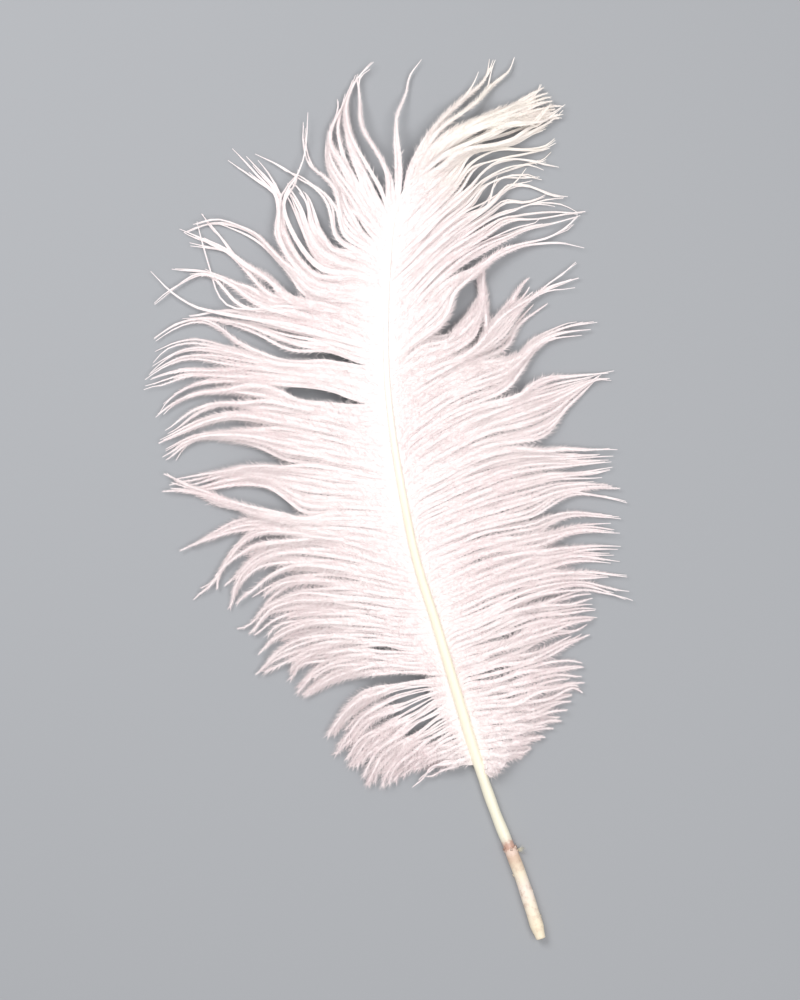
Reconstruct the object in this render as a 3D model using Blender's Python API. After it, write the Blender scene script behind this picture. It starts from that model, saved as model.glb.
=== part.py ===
"""A white ostrich plume lying on a surface, as one solid.

The shaft is a tapering rod that bends over at its end. The barbs are gathered into flat tapering locks
along both sides of it, and a Boolean union fuses every lock to the shaft. Sizes are in millimetres.
+Y runs along the feather from the quill to the tip, +X is to the right and +Z is up. The surface that it
lies on is z = 0, and the origin is under the middle of its box.
"""

import math

import bmesh
import bpy
import numpy as np

MM = 0.001
FINE = 400  # points on a curve before it is cut into stations
WELD = 0.004  # points closer than this are one point

# Shaft: its centreline seen from above, from the cut end of the quill to the thin bent tip
SHAFT_PATH = (
    (48.5, -140.6), (41.8, -120.0), (33.6, -99.5), (27.0, -80.0), (21.0, -60.0), (15.0, -40.0),
    (8.8, -20.0), (4.6, 0.0), (1.3, 20.0), (-0.7, 40.0), (-0.8, 60.0), (0.4, 80.0), (1.8, 90.0),
    (4.5, 97.0), (8.5, 102.0), (15.0, 108.0), (24.0, 113.5), (33.0, 117.0), (41.0, 120.0),
)
QUILL_WIDTH = 4.3
SHAFT_TIP_WIDTH = 0.6
SHAFT_SIDES = 8
SHAFT_STATIONS = 34
SHAFT_LIFT = 6.0  # height of the shaft's underside where the barbs hold it up
SHAFT_TIP_LIFT = 4.0
# Shares of the shaft's length
QUILL_LIES_TO = 0.16  # the quill lies flat on the surface up to here
SHAFT_RISES_OVER = 0.35
SHAFT_DROOPS_FROM = 0.75

# Locks
LOCK_STATIONS = 8
LOCK_THICK_AT_ROOT = 2.6
LOCK_THICK_AT_TIP = 0.5
LOCK_TIP_WIDTH = 0.9
LOCK_FULLNESS = 4  # the higher, the further out a lock starts to taper
LOCK_ROUNDNESS = 0.8  # the lower, the blunter its tip
LOCK_LANDS_AT = 0.78  # share of a lock's length at which it has come down to its tip's height
# Neighbouring locks take these in turn: how far a lock rises on its way out, and where its tip lies
LOCK_ARCHES = (3.4, 2.2, 3.0, 1.8)
TIP_HEIGHTS = (0.0, 1.5, 0.7, 2.2, 1.1)
# Shares of the shaft's width
ROOT_HEIGHT = 0.2  # a lock starts this far above the shaft's underside
ROOT_THICKNESS = 0.62  # and is at most this thick there, so that the shaft shows above it
EDGE_HEIGHT = 0.4  # share of a lock's thickness at which its two thin edges lie

# Looks
WHITE = (0.93, 0.87, 0.86, 1.0)
ROUGHNESS = 0.6
SHARP_ANGLE = 40  # degrees

# Each lock: the height along Y at which it leaves the shaft, its width, and the points that it passes
LEFT_LOCKS = (
    (-84.0, 4.5, ((19.0, -86.0), (12.0, -88.8), (7.3, -92.2))),
    (-81.0, 5.0, ((17.0, -83.0), (9.0, -86.0), (4.0, -88.5), (1.5, -91.5))),
    (-77.0, 5.5, ((13.0, -80.0), (4.0, -84.0), (-2.0, -88.2), (-5.5, -92.7))),
    (-73.0, 5.5, ((10.0, -77.0), (1.0, -81.5), (-5.0, -85.5), (-8.8, -90.5))),
    (-68.5, 6.0, ((7.0, -72.0), (-3.0, -76.5), (-9.5, -80.5), (-14.2, -85.8))),
    (-64.0, 6.5, ((4.0, -66.5), (-6.0, -71.0), (-13.5, -76.5), (-18.8, -82.5))),
    (-60.0, 5.5, ((1.0, -61.5), (-10.0, -65.0), (-17.0, -70.0), (-22.5, -76.5))),
    (-54.0, 5.0, ((-1.0, -53.5), (-13.0, -55.2), (-22.0, -59.0), (-28.5, -65.5))),
    (-50.0, 7.0, ((-3.0, -49.0), (-16.0, -49.0), (-26.0, -52.5), (-32.5, -60.0))),
    (-45.5, 7.5, ((-6.0, -43.5), (-21.0, -44.5), (-33.0, -49.5), (-42.0, -57.0))),
    (-41.0, 7.0, ((-8.0, -38.0), (-24.0, -37.8), (-35.5, -41.5), (-43.3, -48.5))),
    (-36.0, 7.5, ((-10.0, -32.0), (-27.0, -31.0), (-40.0, -36.0), (-50.0, -42.0))),
    (-31.0, 7.5, ((-12.0, -26.5), (-30.0, -23.0), (-42.5, -27.0), (-48.5, -36.5))),
    (-26.0, 7.0, ((-14.0, -20.0), (-32.0, -17.5), (-45.0, -21.0), (-53.5, -26.5))),
    (-21.0, 6.0, ((-15.0, -15.0), (-35.0, -10.8), (-50.0, -17.0), (-62.2, -32.0))),
    (-17.0, 5.5, ((-16.0, -10.0), (-36.0, -6.5), (-51.5, -9.0), (-65.0, -18.0))),
    (-11.0, 4.5, ((-17.0, -6.0), (-36.0, -3.5), (-55.0, -0.5), (-72.0, 2.5))),
    (-8.0, 4.0, ((-17.0, -4.0), (-36.0, -2.5), (-52.0, 0.5), (-71.5, 8.0))),
    (-3.0, 5.5, ((-16.0, 1.5), (-36.0, 6.0), (-52.0, 6.8), (-65.0, 2.2))),
    (3.5, 6.0, ((-18.0, 8.0), (-38.0, 11.0), (-54.0, 10.0), (-72.0, 4.0))),
    (10.0, 6.0, ((-18.0, 13.5), (-37.5, 17.2), (-55.0, 18.8), (-68.0, 12.2))),
    (15.0, 6.5, ((-19.5, 19.0), (-40.0, 22.5), (-58.0, 22.0), (-74.3, 14.0))),
    (20.5, 6.5, ((-20.5, 25.0), (-41.5, 29.5), (-58.5, 27.5), (-74.0, 18.5))),
    (26.0, 6.0, ((-22.0, 30.0), (-45.0, 35.5), (-61.0, 34.5), (-75.5, 25.5))),
    (32.0, 5.0, ((-20.0, 37.5), (-45.0, 41.0), (-62.0, 41.3), (-78.0, 36.0))),
    (37.0, 5.5, ((-20.0, 41.5), (-43.5, 45.0), (-60.0, 48.0), (-76.8, 41.5))),
    (41.5, 4.5, ((-19.0, 46.5), (-38.0, 48.5), (-53.0, 54.0), (-65.0, 56.0), (-75.0, 50.5))),
    (45.5, 5.5, ((-22.0, 52.0), (-44.0, 55.5), (-62.0, 60.0), (-76.3, 72.0))),
    (49.5, 5.5, ((-20.0, 56.0), (-42.0, 60.5), (-55.0, 67.5), (-62.0, 69.5), (-74.8, 62.3))),
    (52.5, 5.0, ((-20.0, 58.5), (-42.0, 65.0), (-55.0, 71.0), (-70.3, 73.0))),
    (55.5, 5.0, ((-20.0, 62.5), (-40.0, 69.5), (-52.0, 79.0), (-66.5, 86.3))),
    (60.5, 5.5, ((-20.5, 68.0), (-36.0, 71.0), (-49.0, 82.0), (-60.8, 90.0))),
    (65.0, 5.5, ((-15.0, 72.0), (-28.0, 78.0), (-35.0, 90.0), (-42.0, 100.0), (-51.5, 107.6))),
    (68.0, 5.0, ((-14.0, 75.0), (-27.0, 82.0), (-34.0, 93.0), (-42.0, 106.0), (-49.5, 113.5))),
    (70.5, 4.5, ((-13.0, 77.0), (-27.0, 85.0), (-32.5, 95.0), (-29.0, 106.0), (-26.0, 122.8))),
    (73.5, 5.0, ((-10.0, 82.0), (-18.0, 86.5), (-21.5, 94.0), (-30.0, 102.0), (-42.0, 109.0))),
    (77.0, 5.0, ((-9.0, 85.0), (-15.5, 93.0), (-22.0, 104.0), (-26.0, 117.0))),
    (80.5, 5.0, ((-8.0, 88.5), (-16.0, 98.0), (-20.5, 109.0), (-20.0, 118.5), (-16.5, 127.5))),
    (84.0, 4.5, ((-6.5, 92.5), (-14.0, 103.0), (-18.0, 115.0), (-12.3, 132.3))),
    (87.0, 4.5, ((-3.5, 96.0), (-8.5, 107.0), (-12.0, 120.0), (-7.0, 137.3))),
    (89.5, 4.0, ((-1.0, 98.5), (-4.0, 109.0), (-9.0, 120.0), (-8.5, 130.0), (-3.8, 141.0))),
    (92.5, 3.0, ((2.0, 103.0), (1.5, 114.0), (1.0, 124.0), (3.5, 132.0), (10.3, 140.0))),
)
RIGHT_LOCKS = (
    (-84.5, 6.5, ((34.0, -82.2), (41.5, -80.8), (50.0, -78.0))),
    (-78.0, 7.0, ((33.0, -74.8), (43.0, -73.8), (55.0, -72.8))),
    (-72.5, 7.0, ((31.0, -69.0), (44.0, -67.0), (58.0, -67.2))),
    (-67.0, 7.0, ((30.0, -63.0), (44.0, -59.5), (55.0, -59.5), (62.5, -61.5))),
    (-61.0, 7.0, ((30.0, -56.5), (44.0, -53.2), (54.0, -52.8), (62.0, -54.5))),
    (-56.0, 6.5, ((28.0, -49.8), (42.0, -47.0), (54.0, -47.0), (65.0, -44.2))),
    (-50.5, 7.5, ((29.0, -43.8), (42.0, -40.0), (55.0, -39.5), (66.3, -39.8))),
    (-45.5, 7.0, ((26.0, -38.5), (42.0, -33.5), (55.5, -32.3), (67.0, -34.8))),
    (-40.5, 6.0, ((24.0, -33.8), (42.0, -28.2), (60.0, -27.8), (78.0, -31.8))),
    (-35.5, 6.5, ((22.5, -28.5), (41.0, -22.8), (59.0, -22.4), (76.8, -25.4))),
    (-30.0, 7.0, ((21.0, -23.0), (40.0, -17.2), (58.0, -17.4), (75.0, -18.8))),
    (-25.0, 6.5, ((19.5, -17.5), (40.0, -11.8), (57.5, -12.2), (74.2, -13.6))),
    (-19.0, 6.5, ((18.0, -11.5), (40.0, -6.3), (57.0, -6.0), (75.0, -7.0))),
    (-14.0, 6.5, ((17.0, -6.0), (38.0, -0.3), (57.0, 0.0), (75.8, -1.8))),
    (-9.0, 7.0, ((15.5, -1.0), (37.0, 5.5), (55.0, 6.3), (73.5, 5.0))),
    (-4.0, 7.0, ((14.5, 4.0), (36.0, 10.8), (54.0, 12.0), (72.2, 10.6))),
    (1.0, 7.0, ((14.0, 9.0), (35.0, 16.0), (53.0, 17.2), (72.5, 17.0))),
    (5.0, 8.0, ((13.0, 13.0), (33.0, 21.5), (50.0, 26.0), (61.0, 30.5), (67.0, 36.5))),
    (9.5, 8.0, ((12.0, 17.5), (32.0, 27.5), (50.0, 33.5), (71.6, 38.8))),
    (14.0, 6.5, ((11.0, 22.0), (28.0, 31.5), (45.0, 38.5), (58.0, 41.0), (71.8, 42.0))),
    (18.5, 6.5, ((10.0, 26.5), (26.0, 37.5), (40.0, 45.0), (52.0, 51.0), (65.0, 52.6))),
    (24.0, 5.5, ((9.2, 32.0), (24.0, 42.5), (40.0, 51.0), (51.0, 54.5), (64.0, 56.8))),
    (29.5, 6.0, ((9.0, 38.0), (21.5, 46.8), (36.0, 54.3), (45.0, 58.5), (52.0, 62.2))),
    (34.5, 6.0, ((8.0, 43.5), (21.0, 50.8), (35.0, 58.8), (48.5, 66.5), (60.5, 68.5))),
    (39.0, 5.0, ((8.0, 48.0), (20.0, 55.5), (32.0, 62.0), (46.0, 68.5), (60.0, 76.5))),
    (45.0, 4.5, ((7.0, 52.5), (18.0, 57.0), (28.0, 62.5), (31.0, 70.0), (29.5, 77.5))),
    (48.5, 5.5, ((7.0, 57.0), (16.0, 65.0), (30.0, 74.0), (45.0, 80.5), (62.5, 79.4))),
    (53.5, 6.0, ((7.0, 62.0), (18.0, 71.0), (33.0, 80.5), (47.0, 85.5), (61.5, 88.3))),
    (60.0, 6.5, ((7.0, 69.0), (18.0, 79.0), (33.0, 87.0), (46.0, 91.0), (62.0, 90.5))),
    (66.0, 6.5, ((7.0, 75.5), (18.0, 85.5), (31.0, 92.0), (42.0, 94.5), (56.5, 97.6))),
    (71.5, 6.0, ((8.0, 81.5), (20.0, 91.5), (32.0, 97.8), (41.0, 101.0), (50.0, 102.5))),
    (77.0, 6.0, ((8.0, 87.5), (19.5, 97.5), (30.0, 102.5), (42.0, 105.5), (55.0, 105.2))),
    (83.0, 6.5, ((9.0, 93.5), (20.0, 103.5), (31.0, 107.5), (42.0, 110.0), (53.0, 114.5))),
)
TIP_LOCKS = (
    (97.5, 3.5, ((8.0, 108.0), (17.0, 119.5), (27.0, 130.0), (34.2, 140.2))),
    (100.5, 4.0, ((12.0, 110.5), (22.0, 120.8), (33.0, 131.5), (41.7, 139.6))),
    (104.0, 5.0, ((18.0, 114.0), (30.0, 121.5), (40.0, 127.0), (50.0, 132.0))),
    (108.0, 5.5, ((23.0, 114.0), (34.0, 120.0), (44.0, 125.0), (54.0, 128.8))),
    (112.5, 3.5, ((30.0, 114.0), (38.0, 117.0), (47.0, 119.5), (57.2, 122.5))),
)


def smooth_path(points, count):
    """`count` points along a Catmull-Rom curve through the given points, evenly spread by parameter."""
    p = np.array(points, float)
    p = np.vstack([2 * p[0] - p[1], p, 2 * p[-1] - p[-2]])
    at = np.linspace(0, len(p) - 3, count)
    i = np.minimum(at.astype(int), len(p) - 4)
    t = (at - i)[:, None]
    a, b, c, d = p[i], p[i + 1], p[i + 2], p[i + 3]
    bend = 2 * a - 5 * b + 4 * c - d
    twist = 3 * b - a - 3 * c + d
    return 0.5 * (2 * b + (c - a) * t + bend * t**2 + twist * t**3)


def evenly(path, count):
    """`count` points at equal distances along a path, and how far along each is, from 0 to 1."""
    steps = np.linalg.norm(np.diff(path, axis=0), axis=1)
    along = np.concatenate([[0.0], np.cumsum(steps)]) / steps.sum()
    share = np.linspace(0.0, 1.0, count)
    points = np.stack([np.interp(share, along, column) for column in path.T], axis=1)
    return points, share


def across(path):
    """The unit direction to the right of the path, seen from above, at each of its points."""
    ahead = np.gradient(path, axis=0)
    ahead /= np.linalg.norm(ahead, axis=1)[:, None]
    return np.stack([ahead[:, 1], -ahead[:, 0]], axis=1)


def ease(t):
    """A smooth step from 0 to 1."""
    t = np.clip(t, 0.0, 1.0)
    return t * t * (3.0 - 2.0 * t)


def shaft_at(y):
    """The shaft's centre in X, and the share of its length, where it passes a point along Y."""
    line, share = evenly(smooth_path(SHAFT_PATH, FINE), FINE)
    return np.interp(y, line[:, 1], line[:, 0]), np.interp(y, line[:, 1], share)


def shaft_width(share):
    return QUILL_WIDTH + (SHAFT_TIP_WIDTH - QUILL_WIDTH) * share


def shaft_underside(share):
    """The quill lies on the surface, the barbs lift the middle, and the tip droops a little."""
    rise = SHAFT_LIFT * ease((share - QUILL_LIES_TO) / SHAFT_RISES_OVER)
    droop = ease((share - SHAFT_DROOPS_FROM) / (1.0 - SHAFT_DROOPS_FROM))
    return rise - (SHAFT_LIFT - SHAFT_TIP_LIFT) * droop


def loft(name, rings):
    """A closed mesh through rings of points, each the same length, with a flat cap on both ends."""
    stations, sides, _ = rings.shape
    first = np.arange(stations - 1)[:, None] * sides + np.arange(sides)
    ahead = np.arange(stations - 1)[:, None] * sides + (np.arange(sides) + 1) % sides
    quads = np.stack([first, first + sides, ahead + sides, ahead], axis=-1).reshape(-1, 4)
    last = (stations - 1) * sides
    caps = [list(range(sides)), list(range(last, last + sides))[::-1]]
    mesh = bpy.data.meshes.new(name)
    mesh.from_pydata((rings.reshape(-1, 3) * MM).tolist(), [], quads.tolist() + caps)
    mesh.update()
    return bpy.data.objects.new(name, mesh)


def shaft():
    """An eight-sided tapering rod with a flat side underneath."""
    path, share = evenly(smooth_path(SHAFT_PATH, FINE), SHAFT_STATIONS)
    to_side = shaft_width(share) / 2
    to_corner = to_side / math.cos(math.pi / SHAFT_SIDES)
    angle = (np.arange(SHAFT_SIDES) + 0.5) * 2 * math.pi / SHAFT_SIDES
    out = to_corner[:, None] * np.sin(angle)
    up = (shaft_underside(share) + to_side)[:, None] - to_corner[:, None] * np.cos(angle)
    flat = path[:, None, :] + across(path)[:, None, :] * out[:, :, None]
    return loft("shaft", np.concatenate([flat, up[:, :, None]], axis=2))


def lock(name, root_y, width, points, arch, tip_height):
    """A flat tapering lock with a ridge on top and a keel below, from inside the shaft to its tip."""
    root_x, root_share = shaft_at(root_y)
    path, share = evenly(smooth_path(((root_x, root_y), *points), FINE), LOCK_STATIONS)
    down = np.clip(share / LOCK_LANDS_AT, 0.0, 1.0)
    root_width = shaft_width(root_share)
    root_under = shaft_underside(root_share) + ROOT_HEIGHT * root_width
    under = root_under + (tip_height - root_under) * ease(down) + arch * np.sin(math.pi * down)
    root_thick = min(LOCK_THICK_AT_ROOT, ROOT_THICKNESS * root_width)
    thick = root_thick + (LOCK_THICK_AT_TIP - root_thick) * share
    taper = share**LOCK_FULLNESS
    half = (width * (1.0 - taper) ** LOCK_ROUNDNESS + LOCK_TIP_WIDTH * taper) / 2
    out = across(path) * half[:, None]
    edge = under + EDGE_HEIGHT * thick
    left = np.column_stack([path - out, edge])
    keel = np.column_stack([path, under])
    right = np.column_stack([path + out, edge])
    ridge = np.column_stack([path, under + thick])
    return loft(name, np.stack([left, keel, right, ridge], axis=1))


def all_locks():
    made = []
    sides = (("left", LEFT_LOCKS), ("right", RIGHT_LOCKS), ("tip", TIP_LOCKS))
    for side, locks in sides:
        for number, (root_y, width, points) in enumerate(locks):
            arch = LOCK_ARCHES[number % len(LOCK_ARCHES)]
            tip = TIP_HEIGHTS[number % len(TIP_HEIGHTS)]
            made.append(lock(f"{side}_lock_{number + 1:02d}", root_y, width, points, arch, tip))
    return made


def keratin():
    """Bleached white keratin with a soft sheen."""
    material = bpy.data.materials.new("bleached_ostrich_keratin")
    material.use_nodes = True
    shader = material.node_tree.nodes["Principled BSDF"]
    shader.inputs["Base Color"].default_value = WHITE
    shader.inputs["Roughness"].default_value = ROUGHNESS
    shader.inputs["Metallic"].default_value = 0.0
    return material


def clear_scene():
    for thing in list(bpy.data.objects):
        bpy.data.objects.remove(thing, do_unlink=True)


def fuse(base, guides):
    """Joins every guide to the base with a Boolean union and keeps the outer skin of the result."""
    union = base.modifiers.new("locks", "BOOLEAN")
    union.operation = "UNION"
    union.operand_type = "COLLECTION"
    union.collection = guides
    union.solver = "EXACT"
    fused = bpy.data.meshes.new_from_object(base.evaluated_get(bpy.context.evaluated_depsgraph_get()))
    base.modifiers.remove(union)
    base.data = outer_skin(fused)


def outer_skin(mesh):
    """The mesh without the small closed pockets that crossing locks shut in between them."""
    work = bmesh.new()
    work.from_mesh(mesh)
    bmesh.ops.dissolve_degenerate(work, edges=work.edges, dist=WELD * MM)
    left = set(work.faces)
    skins = []
    while left:
        growing = [left.pop()]
        skin = []
        while growing:
            face = growing.pop()
            skin.append(face)
            plain = [edge for edge in face.edges if len(edge.link_faces) == 2]
            beside = {other for edge in plain for other in edge.link_faces} & left
            left -= beside
            growing.extend(beside)
        skins.append(skin)
    skins.sort(key=len)
    pockets = [face for skin in skins[:-1] for face in skin]
    bmesh.ops.delete(work, geom=pockets, context="FACES")
    bmesh.ops.triangulate(work, faces=work.faces)
    work.to_mesh(mesh)
    work.free()
    return mesh


def main():
    clear_scene()
    guides = bpy.data.collections.new("locks")
    bpy.context.scene.collection.children.link(guides)
    for piece in all_locks():
        guides.objects.link(piece)
        piece.hide_render = True
        piece.display_type = "WIRE"
    feather = shaft()
    feather.name = "feather"
    bpy.context.scene.collection.objects.link(feather)
    fuse(feather, guides)
    feather.data.materials.append(keratin())
    feather.data.shade_smooth()
    feather.data.set_sharp_from_angle(angle=math.radians(SHARP_ANGLE))


main()
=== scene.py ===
"""A white ostrich plume: its shaft, and every barb and barbule of its two loose vanes.

Lengths are in millimetres until a mesh is made. +Y runs from the quill to the tip, +X is to the right
seen from above, +Z is up, and the feather lies on z = 0.
"""

import math

import bpy
import numpy as np
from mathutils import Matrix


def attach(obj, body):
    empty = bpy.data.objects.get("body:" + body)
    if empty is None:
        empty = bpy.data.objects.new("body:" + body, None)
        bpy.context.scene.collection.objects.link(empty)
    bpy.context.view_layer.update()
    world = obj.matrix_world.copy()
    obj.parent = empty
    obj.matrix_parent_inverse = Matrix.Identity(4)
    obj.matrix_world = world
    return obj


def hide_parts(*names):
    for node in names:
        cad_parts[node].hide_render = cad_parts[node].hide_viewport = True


bl_info = {
    "name": "Ostrich Plume",
    "version": (1, 0, 0),
    "blender": (4, 5, 0),
    "location": "View3D > Sidebar > Plume",
    "description": "Builds an ostrich plume barb by barb and barbule by barbule",
    "category": "Mesh",
}

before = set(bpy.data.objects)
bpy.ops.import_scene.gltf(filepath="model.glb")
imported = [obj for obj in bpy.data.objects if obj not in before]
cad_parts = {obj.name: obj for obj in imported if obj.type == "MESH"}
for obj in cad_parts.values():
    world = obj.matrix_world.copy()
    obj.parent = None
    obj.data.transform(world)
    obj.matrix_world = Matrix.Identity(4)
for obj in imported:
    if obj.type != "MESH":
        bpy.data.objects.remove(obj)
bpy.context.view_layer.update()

MM = 0.001
UP = np.array([0.0, 0.0, 1.0])
ALL_OF_IT = "feather"  # the one node that every piece here stands for
BODY = "root"
UV_MAP = "OFBake"
DOWN = "bleached_ostrich_down"  # the material that all the barbs share

# Curves are cut into this many points
GUIDE_STATIONS = 48
PARTING_STATIONS = 24
FINER = 12  # and before that this many times as fine, to find equal distances

# --- the shaft's form ---

# The shaft's centreline seen from above, from the cut end of the quill to the thin bent tip
SHAFT_PATH = (
    (48.5, -140.6), (41.8, -120.0), (33.6, -99.5), (27.0, -80.0), (21.0, -60.0), (15.0, -40.0),
    (8.8, -20.0), (4.6, 0.0), (1.3, 20.0), (-0.7, 40.0), (-0.8, 60.0), (0.4, 80.0), (1.8, 90.0),
    (4.5, 97.0), (8.5, 102.0), (15.0, 108.0), (24.0, 113.5), (33.0, 117.0), (41.0, 120.0),
)
SHAFT_STATIONS = 460
SHAFT_SIDES = 28
SHAFT_LIFT = 6.0  # height of the shaft's underside where the barbs hold it up
SHAFT_TIP_LIFT = 4.0
# Shares of the shaft's length
QUILL_LIES_TO = 0.16
SHAFT_RISES_OVER = 0.35
SHAFT_DROOPS_FROM = 0.75
# Distances from the quill's cut end
QUILL_END_ROUNDING = 5.0
SHEATH_TO = 30.2  # the dry sheath covers the quill up to this ragged edge
SQUARE_FROM = 45.0  # the round quill turns into the squarer, grooved shaft over this stretch
SQUARE_TO = 80.0
# The section of the shaft
SQUARER = 0.9  # how far the superellipse's power rises above 2
GROOVE_DEPTH = 0.28  # share of the radius
GROOVE_TURN = 0.22  # how wide the groove is, in radians
GROOVE_AT = 1.5 * math.pi  # the underside
SHEATH_THICK = 0.16
SHEATH_EDGE_WAVES = ((0.5, 3, 0.6), (0.35, 7, 2.0))  # height, waves around the quill, and phase
SHEATH_EDGE_FROM = 0.35  # the sheath thins out from this far below its edge
SHEATH_EDGE_OVER = 0.7  # over this distance
LUMP_HEIGHT = 0.05  # slight unevenness of the quill
LUMP_WAVES = 0.55  # radians to a millimetre
LUMP_TWIST = 2.0
QUILL_END_LOSS = 0.29  # share of its radius that the quill loses towards its cut end
# Rings that make the hollow quill's mouth: share of the end's radius, how deep, and where along the
# quill's colours they are
MOUTH = ((0.6, 2.4, -6.0), (0.72, 0.5, -2.0), (0.84, -0.12, 0.0))
# Dry chips on the sheath
EDGE_FLAKES = 18
SHEATH_FLAKES = 8
FLAKES_BELOW_EDGE = 0.4
FLAKES_STRAY = 0.7
FLAKES_ALONG = (1.5, 26.0)
FLAKES_ROUND = (-0.4, math.pi + 0.4)
FLAKE_STEP = 0.01  # share of the shaft's length over which its direction is read
FLAKE_SUNK = 0.08
FLAKE_AHEAD = (0.6, 1.3)
FLAKE_OUT = (0.15, 0.6)
FLAKE_LENGTH = (0.5, 1.3)
FLAKE_WIDTH = (0.4, 0.9)
FLAKE_FLATNESS = 0.15
# The wisp of down beside the sheath's edge
WISP_HAIRS = 60
WISP_BELOW_EDGE = 1.0
WISP_FOOT = (2.0, 0.5, 1.8)  # to the right and ahead of the shaft's centre, and above the surface
WISP_STRAY = 0.12
WISP_HEADING = (14.0, 17.0)  # degrees from +X, and how far it varies
WISP_RISE = (0.1, 0.3)
WISP_LENGTH = (1.0, 3.1)
WISP_WIDTH = 0.15
WISP_FLATNESS = 0.6
WISP_COLOUR_AT = 60.0  # its colour is the clean shaft's, this far along

# --- the barbs' form ---

# Where barbs stand and how they run. A share is of a barb's length unless it says something else.
BARB_STATIONS = 26
ROOT_HEIGHT = 0.25  # how far up the shaft's side the barbs grow, as a share of its width
LEAST_BARBS = 3.0  # a lock has at least this many barbs
ROOTS_STRAY = 0.3  # from even steps, as a share of a step
OWN_STRAYS = 0.12  # barbs this near the middle between two locks may belong to either
LONE_TAKES_LESS = 0.25  # a crossing lock takes fewer barbs from beside it, by this share of the way
SHORT_BY = 0.16  # barbs stop up to this share short of their lock's end
SHORT_POWER = 1.6  # and the higher this is, the fewer stop far short of it
SPLAY = 2.0  # barbs of blunt locks stop this far short of their ends, which their barbules then reach
FANS_OVER = 0.3  # share over which a barb leaves the shaft's centre for its place between two guides
JOINS_FROM = 4.5  # a barb leans over to its own lock as the locks beside it part by these distances
JOINS_AT = 11.0
LOOSE_GATHER = 0.3  # how far it joins its lock in any case, towards its tip
BRUSHY_GATHER = 0.05  # and how far on the lower barbs
GATHER_FROM = 0.62  # from this share of its length
GATHER_OVER = 0.38
GATHER_BLEND = 15.0  # along Y, between the lower barbs and the others
LONE_FROM = 0.3  # barbs of a crossing lock join it from this share
LONE_OVER = 0.4
BRUSHY_TO = -20.0  # the lower barbs are those with roots below this place along Y
BRUSHY_BLEND = 8.0  # and they blend into the others this far on both sides of it
# Sideways waves: size, what the lower barbs add to it, and radians over the barb
SWAYS = ((0.3, 0.4, 6.0), (0.14, 0.2, 15.0))
SWAYS_FROM = 0.5  # share at which they have their full size
WIDE_FROM = 0.9  # share at which a lock has the width of its end
TIP_HEIGHT = (0.5, 1.1, 1.1)  # a tip's least height, and what its lock and the barb add at random
ARCH_HEIGHT = (1.6, 0.8, 1.1)  # the same for its arch
LANDS_AT = 0.78  # share at which it has come down to its tip's height
RIPPLE = 0.32  # waves up and down: their size, and radians over the barb
RIPPLE_WAVES = 26.0
RIPPLES_FROM = 0.3

# Barbs at a parting
ROOM = 0.6  # how far barbs stay off the visible edge of a parting, for their barbules
ROOM_AT = 0.5  # half width of the partings that get all of it
NEAR_TIP = 0.75  # share from which barbs come closer and barbules point more ahead
NEAR_TIP_OVER = 0.25
TIP_ROOM_LESS = 0.7
PUSH = 3.0  # how far from a parting its push on the barbs still reaches
PUSH_GROWS = 0.4  # and further by this share of the room that it takes
PUSH_ENDS_OVER = 3.0  # how far past a parting's end its push fades out
SIDE_FROM = 1.5  # a barb's side is read this far outside of the push
SIDE_PAST = 0.5  # and this far past the parting's ends
WRONG_SIDE = 2.0  # barbs this far on the wrong side of the push are still brought over
LEAST_PARTING = 0.02
AROUND_PARTING = 0.5  # barbules further than this outside of a parting's box aren't measured
SMOOTHINGS = 3
CROSSES = 0.8  # locks lifted at least this far run over a parting and don't stand aside

# Sections of barbs and barbules
BARB_SIDES = 4
BARB_FLATNESS = 0.22
MATTED_TO = 0.2  # barbs are widened by matted down up to this share
MASSED_MATTED_TO = 0.25  # and further by this in full locks
MATTED_ENDS_OVER = 0.58
MATTED_VARIES = (0.8, 1.35)
TIP_POINTS_FROM = 0.9
TIP_POINTS_OVER = 0.1
TIP_NARROWER = 0.6
THIN_FROM = 0.13  # shares between which barbules may be missing
THIN_TO = 0.4
THIN_BLENDS = (0.08, 0.2)
THIN_BARB_LESS = 0.68  # how far barbs are narrower there
THIN_LESS = 0.9  # how far barbules are shorter there, and barbs come closer to a parting
SPIKE_FLATNESS = 0.25

# How full a lock's end is by its width: where the change starts, and over what it goes
MASSED_BY = (0.5, 0.3)
BLUNT_BY = (0.8, 0.4)
THREAD_BY = (0.3, 0.3)

# Barbules along a barb
LEAVES_AFTER = 0.7  # barbules start this many shaft widths along a barb, so that they don't hide the shaft
LEAVES_BEFORE = 0.02
LEAVES_OVER = 0.03
BARBS_COVER_FROM = 0.0  # but between these places along Y they come to cover the thin end of the shaft
BARBS_COVER_AT = 55.0
CROWDS_OUTWARD = 0.6  # barbules stand closer on a barb's outer part, by this power of the share along it
TAPERS_OVER = 0.3  # share over which its barbules shorten to none
TAPER_POWER = 0.7
BLUNT_PAST = 0.15  # blunt locks' barbules taper from this share further out
THREAD_SHORTER = 0.55
THREAD_FROM = 0.2
THREAD_OVER = 0.3
LEAST_FULL = 0.12  # barbules shorter than this share of the longest are left out
LENGTH_VARIES = (0.7, 1.1)
WIDTH_VARIES = (0.8, 1.2)
CROSSING_SHORTER = 0.55
SHORT_BARB = 14.0  # barbules are shorter on barbs shorter than this
SHORT_BARB_LEAST = 0.35
FOOT_WIDTHS = (1.15, 0.5)  # a barbule's width at a barb's root, and what it loses towards its tip

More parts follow.
